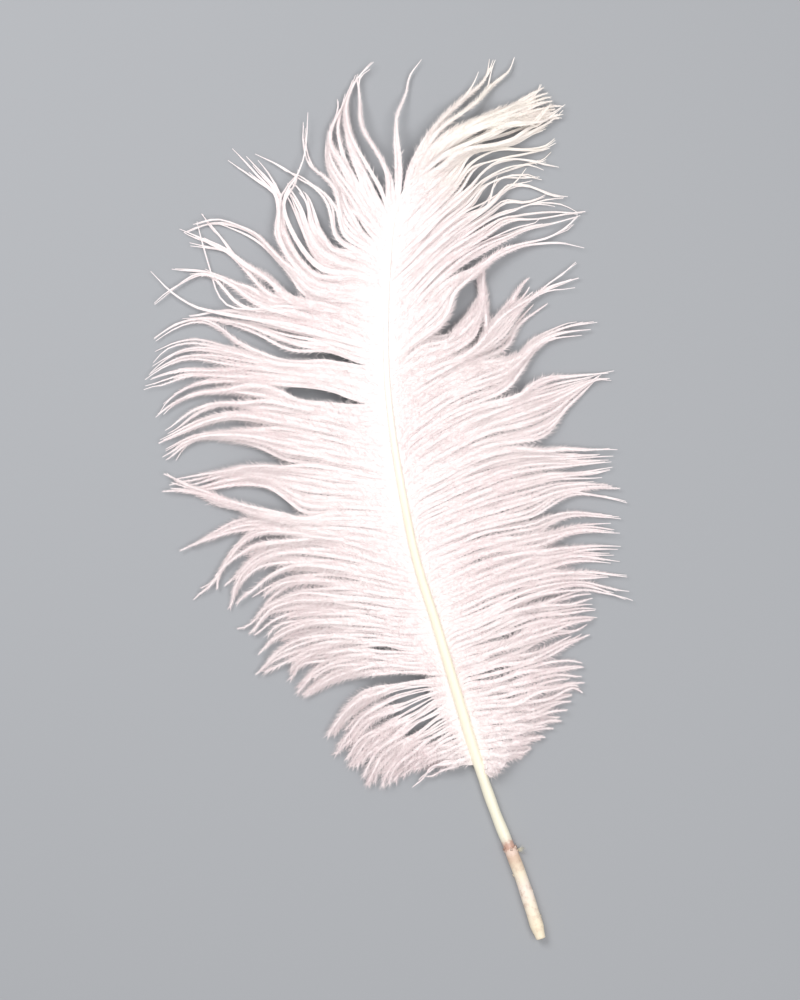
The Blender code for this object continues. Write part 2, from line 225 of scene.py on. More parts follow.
# How barbules point, in degrees
ANGLE_GROWS = 12.0  # towards the barb's tip
BRUSHY_OPENS = 8.0
MASSED_OPENS = 16.0  # in the middle of the barbs of full locks
OPENS_BY = 0.15
OPENS_TO = 0.55
OPENS_TO_OVER = 0.25
HIGH_FROM = 50.0  # places along Y from which full locks are less open
HIGH_OVER = 20.0
ANGLE_VARIES = 14.0
HIGH_VARIES_LESS = 5.0
TIP_CLOSES = 0.45
RISE = (5.0, 26.0)  # out of the vane's plane, and how far it varies

# Barbules at a parting
HALF_WAY_MARGIN = 0.2
STRAY_OVER = 0.25
SHORTENS_OVER = 0.8
SHORTENS = 0.8

# Least heights of barb points above the surface, and painted shade for the material: how far each point's
# colour goes towards the shade colour
LEAST_HEIGHT = 0.05
SIDE_SHADES = (1.0, 0.35, 0.0, 0.35)  # painted shade of a barb's underside, edges and ridge: darkest below, where least light falls
INNER_SHADE = 0.15  # share of that painted shade on a barb's inner part
OUTER_SHADE_FROM = 0.4
OUTER_SHADE_OVER = 0.5
BARBULE_SHADE = 0.3
BARBULE_SHADE_FROM = 0.3
BARBULE_SHADE_POWER = 1.4

# --- the lines of its locks and partings ---

# Each lock of barbs: where along Y it leaves the shaft, how far it is lifted over its neighbours, how
# wide its end is, and then x and y of each point that its middle passes on the way to its tip
LEFT_LOCKS = (
    (-84.9, 0, 0.2, 22, -85.2, 18, -86.4, 14, -87.6, 11.2, -88.5),
    (-83.8, 0.9, 0.3, 21, -84.5, 16.5, -85.2, 13.5, -86.4, 11, -88.4, 8.8, -90.3, 7.3, -92.2),
    (-82.4, 0, 0.8, 24, -83.3, 20, -84.4, 16.5, -85.4, 13.5, -86),
    (-80.2, 0, 1, 22.5, -81.8, 18.5, -83.2, 15, -84.8, 11, -86.6),
    (-77.6, 0, 1.2, 21, -79.6, 17, -81.4, 13, -83.6, 9.5, -85.6, 5.5, -88),
    (-75.2, 0, 1.2, 20, -77.8, 15, -80.3, 10.5, -83, 7, -85.2, 4.5, -87.5, 2.6, -89.8),
    (-73, 0, 1.2, 19, -75.8, 14, -78.8, 9, -81.8, 5.5, -84.2, 3, -86.8, 1.2, -89.2, 0.4, -91.8),
    (-71, 0, 1.2, 18, -74, 13, -77.3, 8, -80.5, 4, -83.2, 1.5, -86, -0.5, -89, -1.8, -92.2),
    (-69, 0, 1.2, 17.5, -72, 12, -75.3, 7, -78.6, 3, -81.8, 0, -84.8, -2, -88, -3.8, -92.8),
    (-67.2, 0, 1.2, 17, -70, 12, -73, 7, -76.3, 2.5, -80, -1, -83.5, -3.5, -87, -5.7, -91.6),
    (-65.5, 0, 1.2, 16.5, -68, 11, -71.2, 6, -74.6, 1, -78.5, -3, -82.5, -5.5, -86.5, -7.8, -92.8),
    (-64.1, 0, 1.2, 16, -66.3, 11, -69.2, 6, -72.2, 1, -76, -4, -80.5, -7, -84, -9.9, -89.4),
    (-63.1, 0, 1.2, 15, -65.4, 10, -68.1, 5, -70.8, 0, -74, -5, -78.3, -8.5, -82, -12, -87.2),
    (-62.1, 0, 1.2, 14.2, -64.3, 8, -67.6, 3, -70, -2, -73, -6.5, -76.5, -10, -80, -14.4, -85.8),
    (-61.1, 0, 1.2, 13.8, -63, 8, -65, 2, -67.6, -3, -70, -8, -73.8, -11.5, -78, -15.6, -83.4),
    (-60.2, 0, 1.2, 13.8, -62, 8, -63.6, 2, -65.5, -3, -67.8, -8, -71, -12, -75.5, -18.3, -82.9),
    (-59.3, 0, 1.2, 14, -60.7, 8, -61.7, 3, -63, -2, -64.9, -7, -67.3, -11, -70.3, -14.3, -74.6, -17.2, -79.6),
    (-58.4, 0, 1.2, 14.8, -59.3, 8, -60.1, 2, -61.2, -4, -63.2, -9, -66.3, -13, -70.3, -18, -76.8),
    (-57.4, 0, 1.2, 15, -58.2, 8, -58.9, 1, -60.2, -5, -62, -10.5, -65.2, -15, -70, -19.6, -77.8),
    (-56, 0, 1.4, 10, -55.8, 3, -55.6, -4, -55.9, -10, -57, -15, -58.8, -20, -61.5, -24.5, -65.2),
    (-54.6, 0, 1.4, 10, -54.6, 2, -54.1, -6, -54.3, -13, -55.8, -18, -58, -23, -61.2, -26.6, -64.8),
    (-53, 0, 1.4, 9, -53.2, 1, -52.6, -7, -52.6, -14, -53.8, -20, -56.4, -25, -60.2, -28.6, -63.6),
    (-51.4, 0, 1.4, 8, -51.8, 0, -51, -8, -50.8, -16, -52, -22, -54.6, -27, -58.5, -30.7, -62.3),
    (-49.8, 0, 1.4, 7, -50.2, -1, -49.4, -10, -49.1, -18, -50.3, -24, -52.3, -28.5, -55, -32.6, -58.5),
    (-48.2, 0, 1.2, 6, -48.6, -2, -47.7, -11, -47.4, -19, -48.3, -25, -49.8, -30, -52, -34, -54.2),
    (-46.6, 0, 1.4, 5, -46.9, -4, -46, -13, -45.7, -21, -46.7, -28, -48.8, -33, -51.6, -37.5, -55, -41.3,
     -58.2),
    (-45, 0, 0.7, 5, -45.2, -5, -44.2, -14, -43.9, -22, -44.9, -30, -46.8, -35, -49, -38.7, -51.2, -42.6,
     -54.7),
    (-43.3, 0, 1, 4, -43.2, -6, -42.1, -16, -41.8, -24, -42.7, -31, -44.4, -36, -46.8, -39.6, -50.2),
    (-41.6, 0, 0.7, 3, -41.5, -7, -40.3, -17, -39.9, -25, -40.5, -32, -42, -37, -43.6, -40, -45.7, -42.6, -49),
    (-39.8, 0, 1.2, 2, -39.4, -8, -38.1, -18, -37.6, -26, -38, -32, -39, -37, -40.8, -40.6, -44),
    (-38, 0, 0.9, 2, -37.4, -8, -36, -18, -35.3, -26, -35.4, -33, -36.9, -37.2, -38.6, -40.2, -41.2, -42.8,
     -44.6),
    (-36.2, 0.2, 0.9, 1, -35.2, -9, -33.6, -19, -32.8, -27, -32.8, -34, -33.6, -38.7, -35.2, -41.7, -37.8,
     -44.4, -43.4),
    (-34.6, 0.2, 0.6, 0, -33.3, -10, -31.5, -20, -30.7, -28, -31, -35, -32.6, -40, -34.9, -44.5, -38.3, -50,
     -42),
    (-33, 0, 0.9, -1, -31.3, -11, -29.4, -20, -28.6, -28, -29.3, -33, -31.2, -37.6, -33.8, -41.5, -36),
    (-31.4, 0, 1, -1, -29.4, -11, -27.3, -21, -26.2, -28, -26.2, -33, -26.9, -36.7, -29, -39.2, -31.6, -40.8,
     -34),
    (-29.7, 0, 0.8, -2, -27.2, -12, -24.9, -21, -23.5, -29, -23.2, -34, -23.9, -37.8, -25.3, -41.2, -28, -44.2,
     -31.5),
    (-28, 0.2, 1, -3, -25, -13, -22.5, -22, -21, -30, -20.8, -36, -21.6, -41, -23.1, -45.2, -26.8, -47.3, -31.5,
     -48.2, -37),
    (-26.2, 0, 1, -3, -22.7, -14, -19.9, -23, -18.5, -31, -18.3, -37, -19.3, -42.5, -21.8, -46.5, -25.8, -48.8,
     -31, -49.4, -36),
    (-24.4, 0, 1.2, -4, -20.5, -14, -17.6, -24, -16.2, -32, -16.2, -38, -17, -43, -19.2, -47, -22.6, -49.6,
     -27.4),
    (-22.6, 0, 0.7, -4, -18.6, -15, -15.6, -24, -14.3, -32, -14.5, -38, -14.9, -43.5, -17.6, -48.4, -22.2,
     -53.8, -26.9),
    (-20.8, 0, 0.7, -5, -16.6, -15, -13.8, -26, -12.2, -33, -11.7, -39, -11.9, -44.5, -13.6, -49, -17.6, -52.5,
     -22.5, -54.5, -25.8, -56.3, -28.7),
    (-19, 0.2, 0.5, -5, -15, -16, -12.6, -26, -11.5, -34, -11, -41, -11.1, -46.5, -13.1, -50.5, -17.4, -54,
     -22.4, -58, -27.2, -62.4, -32.2),
    (-17, 0, 0.7, -6, -13.2, -17, -11.4, -27, -10.6, -36, -10, -44, -9.9, -51, -11.9, -58, -14.8, -65.2, -18),
    (-15, 0, 0.8, -6, -11.6, -17, -10.2, -27, -9.5, -36, -8.7, -44, -7.8, -50, -8.9, -56, -11.2, -62.8, -15.2),
    (-13, 0, 0.7, -6, -9.9, -17, -8.9, -27, -8.5, -36, -7.4, -43, -5.9, -48, -6.2, -53, -7.9, -58, -10.3, -63.3,
     -13.2),
    (-11.2, 0, 0.6, -5, -8.4, -16, -7.7, -27, -7.7, -36, -6.3, -44, -4.5, -51, -3.1, -59, -0.9, -66, 0.6, -72,
     2.3),
    (-9.6, 0.2, 0.7, -5, -7, -16, -6.4, -27, -6.9, -35, -5.2, -42, -3.8, -49, -2.2, -55, -0.2, -62, 2.6, -69,
     5.3),
    (-8, 0.4, 0.7, -5, -5.6, -16, -5, -26, -6.2, -31, -5.2, -35, -4.2, -39, -3.1, -45, -1.8, -51, -0.3, -58,
     2.8, -65, 5.9, -72, 8.4),
    (-5.6, 0, 0.8, -5, -3.4, -16, -2.9, -26, -3, -31, -0.9, -35, 1.6, -40, 3.7, -46, 4.3, -52, 4, -57, 3, -64.5,
     0.5),
    (-3, 0, 0.8, -5, -1, -16, 0, -26, 0.8, -33, 3, -40, 5.2, -47, 5.8, -53, 5.2, -58, 3.7, -62.5, 2),
    (-0.4, 0, 0.8, -6, 1.4, -17, 2.8, -27, 4.2, -35, 6, -42, 7.1, -49, 7.2, -55, 6.2, -62.5, 3.8),
    (2.2, 0, 0.7, -6, 3.8, -17, 5.4, -27, 6.9, -35, 8.2, -43, 8.8, -50, 8.7, -56, 7.6, -64, 5.2),
    (4.8, 0.2, 0.6, -6, 6.3, -17, 8.2, -28, 9.6, -36, 10.3, -44, 10.6, -51, 10.2, -58, 8.6, -65, 6.5, -72, 4.2),
    (7.6, 0, 0.7, -6, 9, -17, 11.3, -27, 13, -34, 14, -39, 15.9, -46, 17.2, -53, 17.6, -59, 17.3, -63, 15.9,
     -66, 13.2, -67.3, 11.7),
    (10, 0, 0.8, -7, 11.3, -18, 13.7, -28, 15.7, -36, 17.5, -43, 18.6, -51, 18.9, -59, 18.3, -66, 16.4, -74.2,
     13),
    (12.5, 0, 0.8, -7, 13.6, -18, 16.2, -28, 18.3, -36, 19.9, -44, 20.7, -52, 20.4, -60, 19.3, -66, 17.6, -71.6,
     15.4),
    (15, 0.2, 0.8, -8, 15.9, -19, 18.6, -29, 20.8, -37, 22, -45, 22.3, -52, 21.8, -59, 20.6, -65, 18.9, -71.7,
     16.3),
    (17.5, 0, 0.8, -8, 18.2, -19, 21, -29, 23.2, -36, 24.6, -43, 25.8, -50, 25.8, -57, 24.7, -63, 22.8, -69, 20,
     -74.2, 17.4),
    (20, 0, 0.8, -9, 20.5, -20, 23.3, -30, 25.6, -38, 26.9, -45, 27.2, -52, 27, -59, 25.4, -65, 22.9, -73,
     18.3),
    (22.3, 0.2, 0.8, -9, 22.6, -20, 25.6, -30, 27.9, -38, 29.3, -45, 29.9, -52, 30, -58, 28.8, -63, 26.7, -70.2,
     20.8),
    (24.6, 0, 0.8, -10, 24.6, -21, 27.9, -31, 30.1, -39, 31.9, -46, 33, -52, 33.2, -58, 32.7, -63, 31, -68,
     27.7, -72.5, 22.3),
    (26.8, 0, 0.8, -10, 26.7, -21, 29.6, -30, 31.3, -38, 33.4, -46, 34.6, -54, 34.6, -60, 33.3, -69, 29.2),
    (28.8, 0.2, 0.8, -11, 28.9, -20, 30.8, -28, 31.9, -35, 34.4, -42, 35.8, -50, 36.2, -57, 35.6, -63, 33.8,
     -69, 30.2, -75.2, 25.3),
    (30.8, 0, 0.7, -8, 32, -16, 33.9, -26, 35.9, -34, 36.6, -43, 37.3, -52, 37.6, -59, 36.9, -65, 34.5, -69.5,
     30.6, -73, 26.8),
    (32.6, 0, 0.6, -8, 33.8, -16, 35.7, -26, 37.5, -35, 38.3, -44, 38.9, -52, 39.6, -59, 39.8, -66, 38.8, -72,
     37, -78, 34.4),
    (34.5, 0.2, 0.6, -8, 35.8, -17, 37.8, -26, 38.9, -36, 39.8, -45, 40.6, -53, 41.2, -59, 41.2, -65, 40.7, -71,
     39.2, -75.6, 37),
    (36.4, 0, 0.6, -8, 37.6, -17, 39.5, -26, 40.3, -36, 41.3, -46, 42.6, -53, 43.8, -59, 44.5, -65, 44.3, -71,
     42, -78, 37.8),
    (38.2, 0.2, 0.6, -8, 39.2, -17, 41, -26, 41.5, -35, 42.6, -45, 44.7, -53, 46.4, -59, 47.3, -66, 46.6, -71,
     43.8, -76.6, 40),
    (40, 0, 0.6, -8, 40.6, -17, 42.3, -26, 42.5, -34, 43.7, -43, 46.2, -50, 47.9, -56, 49.6, -62, 50.1, -69,
     47.6, -75.4, 43.5),
    (41.6, 0, 0.5, -8, 41.4, -14, 42.8, -20, 43.6, -26, 43, -32, 43.9, -38, 45.9, -44, 48.7, -49, 50.9, -55,
     54.2, -61, 55.6, -68, 53.6, -75.3, 49.5),
    (43.2, 0, 0.5, -10, 44, -20, 47, -28, 48, -36, 50.2, -42, 52.8, -48, 55.2, -58, 57.6, -67, 55.4, -74.2,
     51.3),
    (44.8, 0, 0.4, -20, 50, -42, 55.3, -54, 58.4, -60, 59, -66, 57),
    (46.4, 0.8, 0.8, -22, 52, -44, 56.5, -56, 59, -62.5, 60.8, -70, 65.5, -76.3, 72.2),
    (47.6, 0, 0.9, -20, 54.2, -32, 57.2, -42, 58.7, -50, 60, -58, 60, -64, 58),
    (49, 0, 0.7, -20, 56, -42, 61.7, -52, 67.5, -60, 70, -67, 67.3, -75, 62),
    (50.5, 0.1, 0.9, -20, 57.2, -38, 62, -46, 65.9, -52.5, 69, -58, 71.6, -64, 72.7),
    (52, 0, 0.7, -20, 58.5, -36, 63.2, -46, 68.3, -54, 71.2, -70.5, 73.1),
    (53, 0.1, 0.9, -20, 59.8, -35.5, 64, -41.3, 68.4, -45.4, 72.2, -48.7, 75.9, -52, 78.6, -57, 80.8, -62,
     83.8),
    (54, 0, 0.8, -20, 61, -36, 67.4, -45, 74, -51, 78.4, -58, 79.8, -64.3, 80.7),
    (56, 0.3, 0.8, -20, 62, -36, 69, -44, 75.5, -50, 80, -58, 82.6, -66.8, 86.7),
    (58, 0.9, 0.4, -22, 59, -42, 60.2, -50, 60.9, -54.4, 65, -57, 73, -61, 88.5),
    (60, 0, 0.9, -10, 61.5, -22, 62, -29, 62.8, -35, 68.4, -42, 74, -48.5, 78.7, -54, 86, -60.3, 90.9),
    (61.3, 0.2, 0.8, -10, 63.3, -19, 63.8, -26, 65.8, -31, 71.9, -35.5, 76.8, -41, 81.6, -48, 85.5, -57, 87.5,
     -65.5, 84.3),
    (62.3, 0.4, 0.5, -10, 64.6, -19, 65.4, -25.5, 67.4, -30.4, 72.6, -35, 77.8, -40.6, 82.4, -47.5, 86, -55,
     88.8, -62.5, 87.3),
    (63.3, 0, 0.8, -9.5, 66.4, -18.5, 67.4, -25.8, 70.6, -31.7, 77, -35.2, 84, -36, 91, -37.2, 97, -43, 102,
     -51.5, 107.8),
    (64.4, 0, 0.8, -9, 67.9, -17.8, 69, -24.8, 72.2, -30.5, 78.6, -33.9, 85.4, -35.3, 92.2, -36.6, 98.2, -42,
     104.5, -50, 112.9),
    (65.4, 0.2, 0.9, -8.8, 69.4, -17.2, 70.3, -23.6, 73, -29.2, 79.6, -32.9, 86, -34.5, 92.6, -34.8, 97.6, -38,
     103, -43.5, 107.5),
    (66, 0.4, 0.8, -8.6, 70, -16.9, 70.8, -23, 73.1, -28.5, 79.5, -32.1, 86.2, -33.8, 92.6, -33.4, 97.4, -30.6,
     102.2, -27.6, 107),
    (66.4, 0.9, 0.5, -8.5, 70.4, -16.6, 71.2, -22.4, 73.2, -27.8, 79.4, -31.6, 86.4, -33.2, 92.6, -32.4, 97.4,
     -29.2, 102.6, -27, 110, -26, 123),
    (67.6, 0, 0.8, -8, 71.8, -14, 73, -20.6, 74.8, -25.2, 79.4, -28, 85.5, -29.5, 91, -31, 96, -33.4, 99.2),
    (68.6, 0.1, 0.8, -7.9, 72.8, -13.8, 74.4, -20, 76.8, -24.3, 81.4, -27.1, 87, -28.7, 92.5, -30.6, 97.2, -33,
     100.2),
    (69.6, 0.2, 0.8, -7.6, 73.9, -13.3, 75.8, -19.1, 78.8, -23, 83.2, -25.7, 88.6, -27.3, 93.6, -29.3, 98,
     -31.6, 100.9),
    (70.5, 0.1, 0.8, -7.2, 75, -12.6, 77.2, -18, 80.5, -21.6, 84.8, -24.2, 89.8, -25.8, 94.2, -27.6, 98.2,
     -29.2, 100.4),
    (71.4, 0.2, 0.8, -6.8, 76.1, -11.6, 78.2, -16.8, 81, -20.2, 85, -22.5, 89.8, -23.8, 94.2, -25.2, 97.6,
     -26.4, 99.4),
    (72.4, 0.5, 0.4, -6.2, 77.4, -10.8, 79.6, -15.4, 82.2, -17.5, 86, -18.3, 91, -19.7, 95.6, -23.3, 99.4,
     -28.5, 102.4, -34, 105.3, -42.8, 109.7),
    (74.2, 0, 0.5, -5.8, 79.6, -10, 82.5, -13.8, 86.5, -15.8, 91.5, -17, 96.5, -19.3, 101.3, -23.8, 106.3,
     -26.2, 114, -26, 120),
    (76.4, 0.2, 0.6, -5.5, 82, -9.2, 85.5, -12.6, 90, -14.6, 95, -16.4, 100, -19.2, 104.5, -21.2, 110, -21,
     115.5),
    (79, 0, 0.5, -5, 85, -8.6, 89.6, -12.4, 95.6, -16.4, 101.5, -19.8, 107, -20.6, 113, -19.8, 120.5, -16.6,
     127.5),
    (81.2, 0.3, 0.5, -4.6, 88, -8, 93, -12.2, 99.5, -16.6, 106.5, -18.9, 112, -17.6, 120, -14.9, 126),
    (83, 0.3, 0.8, -7, 91, -13.5, 102, -18.3, 113, -16.5, 122, -12.3, 132.7),
    (86, 0, 0.8, -5, 95, -10, 107.5, -12.9, 118, -11.5, 127, -7, 137.3),
    (90, 0.4, 0.5, -0.7, 98.8, -3.6, 105.4, -6.8, 112.8, -9, 118.4, -9.7, 124, -8.8, 130, -6.8, 135.6, -3.8,
     141),
    (93, 0, 0.4, 4, 101.2, 3.4, 106.8, 1.7, 113.4, 0.4, 119.5, 0.5, 124, 2.2, 129.2, 5.9, 134.6, 10.3, 140.2),
)
RIGHT_LOCKS = (
    (-89, 0, 0.6, 33.3, -88, 34.3, -87.3),
    (-87, 0, 0.8, 34, -86.4, 36.4, -85.7),
    (-85, 0, 0.8, 33.6, -84.8, 36.8, -84.2, 40, -83.2),
    (-83, 0, 0.8, 33, -82.9, 39, -81.8, 44.8, -80.9),
    (-81, 0, 0.8, 32, -80.9, 38, -80, 45.5, -78.7),
    (-79.2, 0, 0.8, 31, -78.8, 38, -77.8, 45, -76.6, 50.2, -77.3),
    (-77, 0, 0.8, 30, -76.2, 38, -75, 46, -73.6, 53, -73),
    (-74.8, 0, 0.8, 29, -73.9, 37, -72.7, 45, -71.4, 56.3, -70.6),
    (-72.6, 0, 0.8, 28, -71.4, 36, -70.2, 44, -69, 51, -67.3, 57.3, -66.2),
    (-70.4, 0, 0.8, 27, -69, 35, -67.8, 43, -66.4, 51, -64.6, 59, -63.8),
    (-68.2, 0, 0.8, 26, -66.6, 34, -65.3, 42, -63.6, 50, -61.4, 57, -60.2, 60.5, -61, 64, -62.5),
    (-66, 0, 0.9, 25, -64, 32, -62.6, 40, -60.8, 48, -58.7, 55, -57.2, 62.3, -56.6),
    (-63.6, 0, 0.9, 24.5, -61, 32, -59, 40, -57, 47, -55, 54, -53.3, 62, -52.8),
    (-61.2, 0, 0.7, 23.6, -58, 32, -55.6, 40, -52.8, 47, -50.6, 54, -48.2, 60, -45.8, 65, -44.3),
    (-58.3, 0, 0.9, 22.5, -54.4, 31, -51.5, 40, -48.2, 48, -45.2, 55, -43.4, 60, -42.4, 63.5, -41.4),
    (-55.3, 0, 0.9, 21.5, -51.2, 30, -48, 39, -44.6, 47, -41.7, 55, -39.8, 60, -39.2, 66, -38.6),
    (-52.3, 0, 0.8, 20.5, -48, 29, -44.6, 38, -41, 46, -38, 54, -36.2, 61, -35.5, 67.2, -36),
    (-49.4, 0.2, 0.9, 19.5, -45, 28, -41.5, 37, -37.9, 45, -34.8, 53, -32.6, 59, -31.3, 64.8, -30.2),
    (-46.5, 0.3, 0.4, 18.5, -42, 27, -38.2, 36, -34.5, 45, -31.2, 53, -28.9, 60, -28.2, 68, -29, 78, -32),
    (-43.4, 0, 0.8, 17.5, -38.8, 26, -34.9, 35, -31, 44, -27.6, 52, -25.7, 60, -25, 68, -25.2, 76.8, -26),
    (-40, 0, 0.8, 16.5, -35.2, 25, -31, 34, -26.8, 43, -23.3, 51, -21.3, 59, -20.4, 68, -20.6, 76, -21.4),
    (-36.6, 0, 0.8, 15.5, -31.7, 25, -27.1, 34, -23.2, 43, -20.1, 51, -18.5, 60, -17.8, 73.5, -18),
    (-33.5, 0, 0.8, 14.5, -28.5, 24, -24, 33, -20.3, 42, -17.8, 49, -16.9, 56, -15.2, 64, -14.7, 74.3, -15),
    (-30.5, 0, 0.7, 13.5, -25.3, 23, -20.8, 32, -17.3, 41, -15.4, 48, -13.9, 55, -12, 62, -10.6, 73.5, -11.4),
    (-28, 0, 0.6, 13, -22.7, 22, -18.4, 31, -15.1, 40, -13.4, 47, -12.2, 54, -10.1, 61, -8.4, 71.3, -8),
    (-25.4, 0, 0.5, 12.3, -20, 21.5, -15.8, 30.5, -12.6, 40, -11, 47, -9.9, 53, -6.9, 60, -4.9, 67, -5.2, 75,
     -6.4),
    (-22.6, 0, 0.4, 11.5, -17, 20.5, -12.9, 29.5, -9.7, 39, -7.9, 46, -6, 52, -2.5, 57, 0.1, 62, 0.9, 68, 0.2,
     76, -1.9),
    (-19.6, 0, 1, 10.6, -13.8, 19.6, -9.7, 28.6, -6.4, 38, -4.1, 46, -1.6, 53, 1.4, 60, 2.7, 67, 3.4, 74.3,
     3.8),
    (-16.6, 0, 0.7, 10, -10.7, 19, -6.4, 28, -2.6, 37, 0.5, 45, 2.9, 53, 4.9, 60, 5.6, 68.3, 6.3),
    (-13.6, 0, 0.8, 9.3, -7.5, 18.2, -3, 27.2, 1, 36, 4.4, 44, 6.8, 51, 8.3, 58, 8.9, 65, 9.2, 71.8, 10.2),
    (-10.6, 0, 0.7, 8.7, -4.3, 17.5, 0.5, 26.3, 4.7, 35, 8, 43, 10.1, 50, 10.9, 57, 10.9, 64, 11.2, 71, 11.8),
    (-7.6, 0, 0.7, 8.2, -1.1, 16.8, 4, 25.6, 8.2, 34, 11.4, 42, 13.2, 49, 13.5, 57, 13.3, 64, 13.6, 72, 13.6),
    (-4.6, 0, 0.8, 7.7, 2.1, 16.2, 7.4, 25, 11.9, 33, 14.8, 41, 15.9, 48, 15.2, 56, 15.9, 64, 16.2, 72.5, 17.5),
    (-2.9, 0, 0.9, 7.4, 3.9, 15.9, 9.2, 24.6, 13.8, 33, 17, 41, 18.6, 47.5, 20.2, 52.5, 22.6, 57.3, 26.8, 62.3,
     31.2, 67, 36.4),
    (-1.2, 0, 0.9, 7.1, 5.7, 15.5, 11.3, 24.3, 16.1, 32.7, 19.6, 40.6, 21.6, 47.3, 23.6, 53, 26.4, 58.5, 30.2,
     63.5, 33.6, 67.8, 37),
    (0.6, 0.2, 0.9, 6.9, 7.6, 15.2, 13.4, 24, 18.4, 32.3, 22.2, 40.2, 24.5, 47, 26.6, 53.2, 29.2, 59, 32.2, 64,
     35, 69.2, 37.8),
    (2.5, 0, 0.9, 6.6, 9.7, 14.8, 15.5, 23.5, 20.7, 31.8, 24.5, 39.6, 27, 46.5, 29.1, 53, 31.5, 60, 34.5, 66,
     36.8, 70.3, 38.1),
    (4.4, 0, 0.9, 6.4, 11.7, 14.6, 17.6, 23.2, 22.5, 31.2, 26.1, 39, 29, 46, 31.6, 53, 33.9, 60, 36.2, 71.5,
     38.4),
    (7.4, 0, 0.8, 6, 15, 14, 21, 22.5, 25.9, 30.5, 29.4, 38, 32.4, 45, 36.2, 52, 39.2, 60, 40.6, 71.8, 42),
    (10.6, 0.2, 0.7, 5.6, 18.6, 13.6, 25, 22, 29.9, 30, 33.4, 36.5, 36.3, 41.3, 40.6, 46.3, 45.4, 52, 48.9, 62,
     50.6),
    (13.8, 0, 0.7, 5.4, 22, 13.3, 28.4, 21.5, 33.2, 29.5, 36.6, 36.2, 39.4, 41.8, 42.9, 47.4, 46.7, 54, 49.9,
     63.5, 51.8),
    (17, 0, 0.7, 5.3, 25.2, 13, 31.4, 21, 36.1, 29, 39.6, 36.4, 42.1, 42.6, 45.3, 48.6, 48.8, 56, 51.6, 65,
     52.7),
    (20.4, 0.2, 0.6, 5.3, 28.2, 12.6, 34, 20.6, 38.6, 29, 41.7, 37, 43.9, 43, 47.4, 49.2, 50.9, 57, 53.2, 67,
     53.8),
    (23.5, 0, 0.7, 9, 32, 24.5, 41.3, 39, 45.3, 44, 49.4, 50, 53.4, 56, 56, 62, 58.3),
    (25.5, 0, 1, 9, 34, 23.5, 42.8, 33.5, 46.5, 39, 49.8, 41.8, 54.2, 46, 58.2, 52, 62.3),
    (27, 0, 0.6, 9, 35.6, 22.5, 43.6, 32.2, 49.2, 38, 54.3, 42.3, 58.8, 47.5, 63, 53, 65.4, 60, 66.8),
    (28.4, 0.3, 0.6, 9, 36.8, 22, 44.2, 31.5, 50.8, 37.5, 56.6, 43, 62, 48.5, 66, 54, 68.2, 61, 70),
    (29.8, 0, 0.6, 9, 37.9, 21.8, 44.9, 30.9, 52, 36.5, 57.8, 42, 62.8, 48, 67.5, 54, 72, 60, 76.5),
    (31, 0.2, 1, 9, 38.8, 21.6, 45.2, 30.5, 52.4, 35, 57.8, 38.8, 61, 42.3, 64.3, 45.5, 69.3),
    (32, 0, 1.1, 9, 39.5, 21.6, 45.4, 29.9, 51.6, 33.6, 57, 37.3, 60.8, 39.3, 65, 42, 68.8, 46.3, 72),
    (33, 0, 1.2, 9, 40.2, 21, 45.4, 28.6, 49.6, 30.8, 53.6, 31.6, 59, 31.9, 65, 31.5, 73),
    (34, 0.3, 1.2, 9, 41.2, 20.6, 45.8, 28.2, 50, 30.3, 54, 31, 60, 31.1, 66, 30.6, 75),
    (35.2, 0.5, 1.2, 9, 42.8, 17.6, 47.4, 23.6, 50.2, 27.2, 54.6, 29.3, 59.6, 30.3, 66, 30, 76),
    (36.6, 0.3, 1.2, 8.6, 44.4, 16.8, 49.3, 22.6, 52.6, 26.2, 57, 28.5, 62, 29.6, 67, 29.3, 77.5),
    (38, 0.5, 1.2, 8.4, 46, 15.8, 50.8, 21.2, 54, 24.8, 58, 26.9, 61.8, 28.6, 65.6, 29, 72),
    (39.2, 0.3, 1.2, 8, 47.2, 15, 52.2, 20.4, 55, 23.5, 58, 25.8, 61.9, 28.4, 65.5),
    (41, 0, 0.6, 7.6, 48.8, 14.8, 53.8, 19.8, 59.2, 21.7, 64.6, 27.6, 70.3, 33, 74, 40, 77, 47, 79.6, 54, 81,
     62.5, 79.2),
    (43.3, 0.2, 0.7, 7.4, 51.4, 14.6, 57.4, 19.6, 63.8, 25.2, 69.6, 31, 74.2, 38, 77.3, 45, 79.9, 51, 80.9,
     57.5, 80.2),
    (45.7, 0, 0.7, 7.2, 54.6, 14.6, 62.4, 21, 68.9, 27, 72.6, 33, 76.2, 41, 79.6, 48.5, 82.3, 54.5, 84.6, 60,
     87.4),
    (48, 0, 0.7, 7, 57, 14.8, 65.2, 20.6, 70.3, 26.2, 73.3, 31.2, 76, 36.5, 79.6, 43, 81.9, 50, 83.2, 55, 85.8,
     60.5, 89.4),
    (50.5, 0.2, 0.6, 7, 59.6, 15.2, 69, 22.5, 75.2, 29.5, 79.4, 36, 82.4, 40.5, 84.4, 45, 86.2, 50, 87.2, 56,
     88, 61.9, 88.2),
    (52.6, 0, 0.6, 7, 61.6, 15.8, 71.2, 23.5, 77.2, 30, 81.2, 36, 83.9, 40.5, 85.6, 44.5, 87, 49.5, 87.9),
    (53.7, 0.9, 0.3, 7, 62.6, 16, 72.2, 23.8, 78.2, 30.5, 82.2, 36.3, 84.6, 40.6, 86.1, 44.5, 87, 46.8, 87.6,
     48.6, 89.3),
    (55, 0.2, 0.5, 7, 63.7, 16.2, 73.2, 24.2, 79.4, 31, 83.7, 36.5, 87.2, 41.5, 88.7, 47, 89.2, 53, 89.9, 58,
     90.6, 63, 90.7),
    (57.4, 0, 0.5, 7, 65.8, 16.8, 75.4, 25, 81.6, 31.5, 85.8, 36.5, 88.8, 41.5, 90, 46, 90.8, 51, 91.2, 56,
